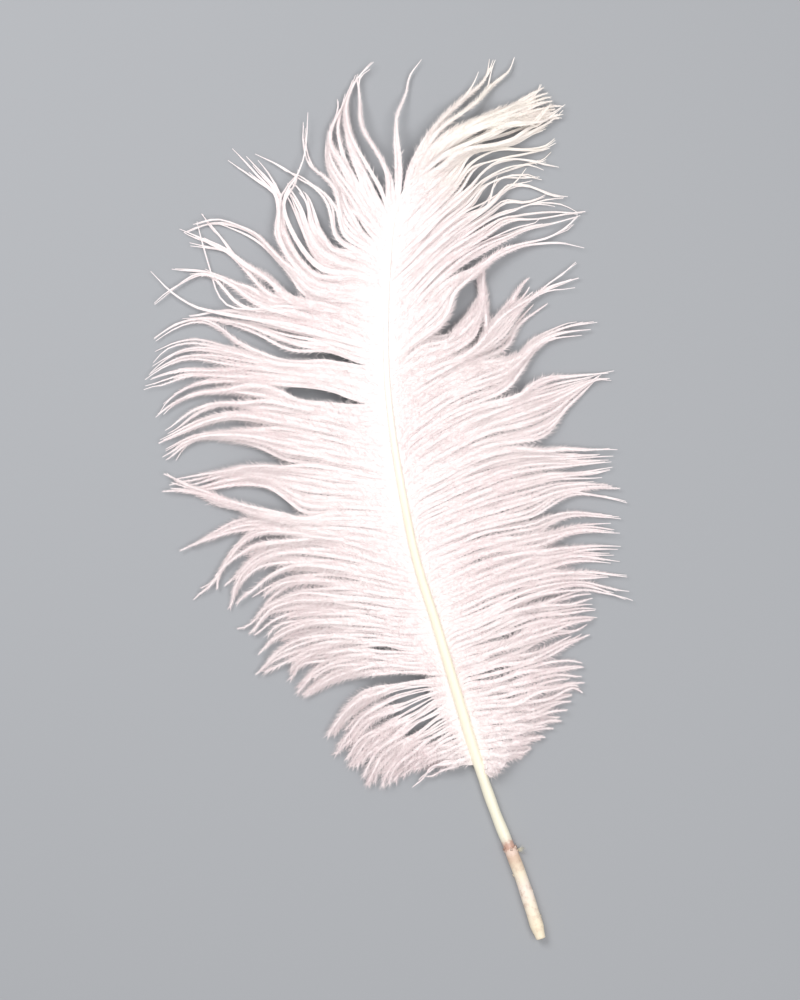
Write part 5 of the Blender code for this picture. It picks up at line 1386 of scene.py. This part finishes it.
def horn_keratin(settings):
    """The quill and shaft: smooth ivory horn, with a dry brownish sheath left on the quill.

    The horn has a soft gloss and fine lengthwise striations, and pales to white between the upper barbs;
    the sheath is duller, mottled and cracked.
    """
    material, tree, shader = new_material("ivory_quill_horn")
    place = add(tree, "TexCoord", {}, "Object")
    along = add(tree, "Attribute", {}, "Fac", attribute_name="along")
    wander = add(tree, "TexNoise", {"Vector": place, "Scale": 1.0 / (BAND_WANDER * MM), "Detail": 2.0})
    wander = add(tree, "MapRange", {"Value": wander, "To Min": -1.3, "To Max": 1.3})
    along = add(tree, "Math", {0: along, 1: wander}, operation="ADD")
    share = add(tree, "MapRange", {"Value": along, "From Max": BANDS_OVER})
    bands = (*QUILL_BANDS, (CLEAN_FROM, settings.ivory), (1.0, settings.ivory))
    colour = add(tree, "ValToRGB", {"Fac": share}, ramp=bands)

    on_sheath = add(tree, "MapRange", {"Value": along, "From Min": 30.5, "From Max": 29.0})
    scale = 1.0 / (SHEATH_SPOT * MM)
    spots = add(tree, "TexNoise", {"Vector": place, "Scale": scale, "Detail": 5.0, "Roughness": 0.65})
    spots = add(tree, "MapRange", {"Value": spots, "From Min": 0.5, "From Max": 0.7})
    spots = add(tree, "Math", {0: spots, 1: on_sheath}, operation="MULTIPLY")
    spots = add(tree, "Math", {0: spots, 1: 0.45}, operation="MULTIPLY")
    colour = add(tree, "Mix", {0: spots, 6: colour, 7: linear(SPOT_COLOUR)}, MIXED, data_type="RGBA")

    lengthwise = {"Vector": place, "Rotation": (0, 0, 0.33), "Scale": (1.0, 0.12, 1.0)}
    drawn_out = add(tree, "Mapping", lengthwise)
    streaks = add(tree, "TexNoise", {"Vector": drawn_out, "Scale": 1.0 / (STREAK * MM), "Detail": 4.0})
    streaky = add(tree, "MapRange", {"Value": streaks, "From Min": 0.45, "From Max": 0.75, "To Max": 0.22})
    streaky = {0: streaky, 6: colour, 7: linear(STREAK_COLOUR)}
    colour = add(tree, "Mix", streaky, MIXED, data_type="RGBA", blend_type="MULTIPLY")
    fade = add(tree, "MapRange", {"Value": along, "From Min": 140.0, "From Max": 200.0, "To Max": 0.85})
    colour = add(tree, "Mix", {0: fade, 6: colour, 7: linear(UPPER_SHAFT)}, MIXED, data_type="RGBA")

    rough = add(tree, "MapRange", {"Value": on_sheath, "To Min": 0.36, "To Max": 0.62})
    bump = add(tree, "Bump", {"Height": streaks, "Strength": 0.35, "Distance": 0.05 * MM})
    bump = add(tree, "Bump", {"Height": spots, "Strength": 0.5, "Distance": 0.12 * MM, "Normal": bump})
    fill(tree, shader, {"Base Color": colour, "Roughness": rough, "Normal": bump, "IOR": HORN_IOR})
    fill(tree, shader, {"Coat Weight": 0.12, "Coat Roughness": 0.3})
    return material


def matt_paper(settings):
    """The floor: one even pale colour without gloss."""
    material, tree, shader = new_material("matt_paper")
    fill(tree, shader, {"Base Color": linear(settings.floor), "Roughness": FLOOR_ROUGHNESS})
    return material


# --- stage ---

PICTURE_CENTRE = (3.52, -0.64)  # what the middle of the picture shows, in millimetres
PICTURE_HEIGHT = 320.0  # how much the picture shows from top to bottom, in millimetres
CAMERA_HEIGHT = 1100.0
SENSOR = 36.0
FLOOR_HALF = 2.0  # half of the floor's side, in metres
FLOOR_ROUGHNESS = 0.9
# Name, place and width of each light, in metres
LIGHTS = (("key", (-0.36, 0.34, 0.66), 0.45), ("overhead", (0.28, -0.12, 0.95), 0.9))
WORLD_WHITE = (1.0, 1.0, 1.0, 1.0)
WORLD_STRENGTH = 0.35


def build_floor(settings):
    """A plain pale floor under the feather."""
    half = FLOOR_HALF
    mesh = bpy.data.meshes.new("floor")
    corners = [(-half, -half, 0.0), (half, -half, 0.0), (half, half, 0.0), (-half, half, 0.0)]
    mesh.from_pydata(corners, [], [(0, 1, 2, 3)])
    mesh.materials.append(matt_paper(settings))
    floor = bpy.data.objects.new("floor", mesh)
    bpy.context.scene.collection.objects.link(floor)


def build_lights(settings):
    """Two round lights that face the origin, in even surroundings."""
    for (name, place, size), power in zip(LIGHTS, (settings.key_power, settings.fill_power)):
        data = bpy.data.lights.new(name, "AREA")
        data.shape = "DISK"
        data.size = size
        data.energy = power
        lamp = bpy.data.objects.new(name, data)
        lamp.location = place
        x, y, z = place
        lamp.rotation_euler = (math.acos(z / np.linalg.norm(place)), 0.0, math.atan2(x, -y))
        bpy.context.scene.collection.objects.link(lamp)
    world = bpy.data.worlds.new("studio")
    world.use_nodes = True
    background = world.node_tree.nodes["Background"]
    fill(world.node_tree, background, {"Color": WORLD_WHITE, "Strength": WORLD_STRENGTH})
    bpy.context.scene.world = world


def build_camera():
    """The camera looks straight down, with the feather's length up the picture."""
    data = bpy.data.cameras.new("camera")
    data.sensor_width = SENSOR
    data.lens = SENSOR * CAMERA_HEIGHT / PICTURE_HEIGHT
    camera = bpy.data.objects.new("camera", data)
    camera.location = (PICTURE_CENTRE[0] * MM, PICTURE_CENTRE[1] * MM, CAMERA_HEIGHT * MM)
    bpy.context.scene.collection.objects.link(camera)
    bpy.context.scene.camera = camera
    bpy.context.scene.view_settings.view_transform = "Standard"


# --- settings ---


class PlumeShaftSettings(bpy.types.PropertyGroup):
    quill_width: bpy.props.FloatProperty(
        name="Quill width", description="Width of the quill near its cut end, in millimetres", default=4.4
    )
    tip_width: bpy.props.FloatProperty(
        name="Tip width", description="Width of the shaft at its thin end, in millimetres", default=0.5
    )
    ivory: bpy.props.StringProperty(
        name="Ivory", description="sRGB hex colour of the clean shaft", default="#FBF5DF"
    )


class PlumeBarbSettings(bpy.types.PropertyGroup):
    barb_spacing: bpy.props.FloatProperty(
        name="Barb spacing", description="Distance between barbs along the shaft, in millimetres", default=0.78
    )
    barb_width: bpy.props.FloatProperty(
        name="Barb width",
        description="Width of a barb with the matted down on its inner part, in millimetres",
        default=1.2,
    )
    barb_tip_width: bpy.props.FloatProperty(
        name="Barb tip width", description="Width of a barb's bare outer part, in millimetres", default=0.45
    )
    barbule_spacing: bpy.props.FloatProperty(
        name="Barbule spacing",
        description="Distance between barbules on one side of a barb, in millimetres",
        default=0.307,
    )
    barbule_length: bpy.props.FloatProperty(
        name="Barbule length", description="Length of the longest barbules, in millimetres", default=3.2
    )
    barbule_width: bpy.props.FloatProperty(
        name="Barbule width",
        description="Width of a barbule at its foot, in millimetres, coarser than life so that it shows",
        default=0.2,
    )
    barbule_angle: bpy.props.FloatProperty(
        name="Barbule angle", description="Angle between a barbule and its barb, in degrees", default=24.0
    )
    white: bpy.props.StringProperty(name="White", description="sRGB hex colour of the down", default="#FFF6F5")
    blush: bpy.props.StringProperty(
        name="Blush", description="sRGB hex colour of the pinkish patches", default="#F5E2E3"
    )
    # The shade colour is the pinkish grey of painted shade on the barbs' undersides, edges and outer parts
    shade: bpy.props.StringProperty(
        name="Shade", description="sRGB hex colour of the matted down between the barbs", default="#E4D0D2"
    )
    cream: bpy.props.StringProperty(
        name="Cream", description="sRGB hex colour of the plume's tip", default="#FFFAEC"
    )


class PlumeStageSettings(bpy.types.PropertyGroup):
    floor: bpy.props.StringProperty(name="Floor", description="sRGB hex colour of the floor", default="#A6A8AC")
    key_power: bpy.props.FloatProperty(
        name="Key light", description="Power of the key light", default=3.25, unit="POWER"
    )
    fill_power: bpy.props.FloatProperty(
        name="Fill light", description="Power of the overhead light", default=5.9, unit="POWER"
    )


# --- operators ---

# Where along Y each vane is cut into its pieces
LEFT_CUTS = (-20.0, 37.0)
RIGHT_CUTS = (-25.0, 34.0)
# Places along Y of barbs' roots, and there the share of a barb that is bare at its tip; below zero,
# barbules are long to the very end
LEFT_BARE = (
    (-85.0, -20.0, 0.0, 12.0, 30.0, 42.0, 60.0, 70.0, 78.0, 90.0),
    (-0.06, -0.06, -0.02, 0.0, 0.03, 0.08, 0.24, 0.26, 0.1, 0.1),
)
RIGHT_BARE = (
    (-89.0, -60.0, -30.0, 15.0, 28.0, 50.0, 62.0, 90.0),
    (-0.04, 0.0, 0.04, 0.05, 0.12, 0.2, 0.36, 0.36),
)
TIP_BARE = ((0.0,), (0.04,))
# Such places, and how far barbules are missing on the inner part of the barbs there: the lowest on the left
# stand apart as bare threads between their downy roots and their brushy ends
LEFT_SPARSE = ((-84.0, -76.0, -69.0, -58.0, -56.0, -47.0, -41.0), (0.2, 0.35, 0.8, 1.0, 0.5, 0.5, 0.0))
NOT_SPARSE = ((0.0,), (0.0,))
SHAFT_SEED = 11
LEFT_SEED = 100
RIGHT_SEED = 200
TIP_SEED = 300


def down_of(scene):
    """The one material that all the barbs share."""
    return bpy.data.materials.get(DOWN) or down_keratin(scene.plume_barbs)


def split(locks, heights):
    """The locks in groups that meet at heights along Y; each group also holds the next one's first lock."""
    roots = np.array([lock[0] for lock in locks])
    cuts = [0, *[int(np.searchsorted(roots, y)) for y in heights], len(locks) - 1]
    return [locks[a : b + 1] for a, b in zip(cuts, cuts[1:])]


def build_vane(scene, names, groups, partings, bare, sparse, seed):
    """One piece for each name from its group of locks."""
    shaft = Shaft(scene.plume_shaft.quill_width, scene.plume_shaft.tip_width)
    down = down_of(scene)
    for number, (name, locks) in enumerate(zip(names, groups)):
        vane(name, shaft, locks, partings, scene.plume_barbs, bare, sparse, seed + number, down)


class PLUME_OT_shaft(bpy.types.Operator):
    """Make the quill and shaft"""

    bl_idname = "plume.shaft"
    bl_label = "Shaft"

    def execute(self, context):
        build_shaft(context.scene.plume_shaft, horn_keratin(context.scene.plume_shaft))
        return {"FINISHED"}


class PLUME_OT_left_vane(bpy.types.Operator):
    """Make the barbs of the left vane"""

    bl_idname = "plume.left_vane"
    bl_label = "Left vane"

    def execute(self, context):
        names = ("left_lower_barbs", "left_middle_barbs", "left_upper_barbs")
        groups = split(LEFT_LOCKS, LEFT_CUTS)
        build_vane(context.scene, names, groups, LEFT_PARTINGS, LEFT_BARE, LEFT_SPARSE, LEFT_SEED)
        return {"FINISHED"}


class PLUME_OT_right_vane(bpy.types.Operator):
    """Make the barbs of the right vane"""

    bl_idname = "plume.right_vane"
    bl_label = "Right vane"

    def execute(self, context):
        names = ("right_lower_barbs", "right_middle_barbs", "right_upper_barbs")
        groups = split(RIGHT_LOCKS, RIGHT_CUTS)
        build_vane(context.scene, names, groups, RIGHT_PARTINGS, RIGHT_BARE, NOT_SPARSE, RIGHT_SEED)
        return {"FINISHED"}


class PLUME_OT_tip(bpy.types.Operator):
    """Make the barbs of the bent tip"""

    bl_idname = "plume.tip"
    bl_label = "Tip plume"

    def execute(self, context):
        names, groups = ("tip_barbs",), (TIP_LOCKS,)
        build_vane(context.scene, names, groups, TIP_PARTINGS, TIP_BARE, NOT_SPARSE, TIP_SEED)
        return {"FINISHED"}


class PLUME_OT_stage(bpy.types.Operator):
    """Make the floor, the lights and the camera"""

    bl_idname = "plume.stage"
    bl_label = "Stage"

    def execute(self, context):
        settings = context.scene.plume_stage
        build_floor(settings)
        build_lights(settings)
        build_camera()
        return {"FINISHED"}


class PLUME_PT_panel(bpy.types.Panel):
    """Lists the plume's pieces and their sizes"""

    bl_label = "Ostrich plume"
    bl_idname = "PLUME_PT_panel"
    bl_space_type = "VIEW_3D"
    bl_region_type = "UI"
    bl_category = "Plume"

    def draw(self, context):
        scene = context.scene
        for settings, operators in (
            (scene.plume_shaft, ("plume.shaft",)),
            (scene.plume_barbs, ("plume.left_vane", "plume.right_vane", "plume.tip")),
            (scene.plume_stage, ("plume.stage",)),
        ):
            box = self.layout.box()
            for key in settings.bl_rna.properties.keys():
                if key not in ("rna_type", "name"):
                    box.prop(settings, key)
            for operator in operators:
                box.operator(operator)


CLASSES = (
    PlumeShaftSettings, PlumeBarbSettings, PlumeStageSettings, PLUME_OT_shaft, PLUME_OT_left_vane,
    PLUME_OT_right_vane, PLUME_OT_tip, PLUME_OT_stage, PLUME_PT_panel,
)


def register():
    for item in CLASSES:
        bpy.utils.register_class(item)
    bpy.types.Scene.plume_shaft = bpy.props.PointerProperty(type=PlumeShaftSettings)
    bpy.types.Scene.plume_barbs = bpy.props.PointerProperty(type=PlumeBarbSettings)
    bpy.types.Scene.plume_stage = bpy.props.PointerProperty(type=PlumeStageSettings)


def unregister():
    del bpy.types.Scene.plume_stage
    del bpy.types.Scene.plume_barbs
    del bpy.types.Scene.plume_shaft
    for item in reversed(CLASSES):
        bpy.utils.unregister_class(item)


def main():
    register()
    bpy.ops.plume.shaft()
    bpy.ops.plume.left_vane()
    bpy.ops.plume.right_vane()
    bpy.ops.plume.tip()
    bpy.ops.plume.stage()


if __name__ == "__main__":
    main()
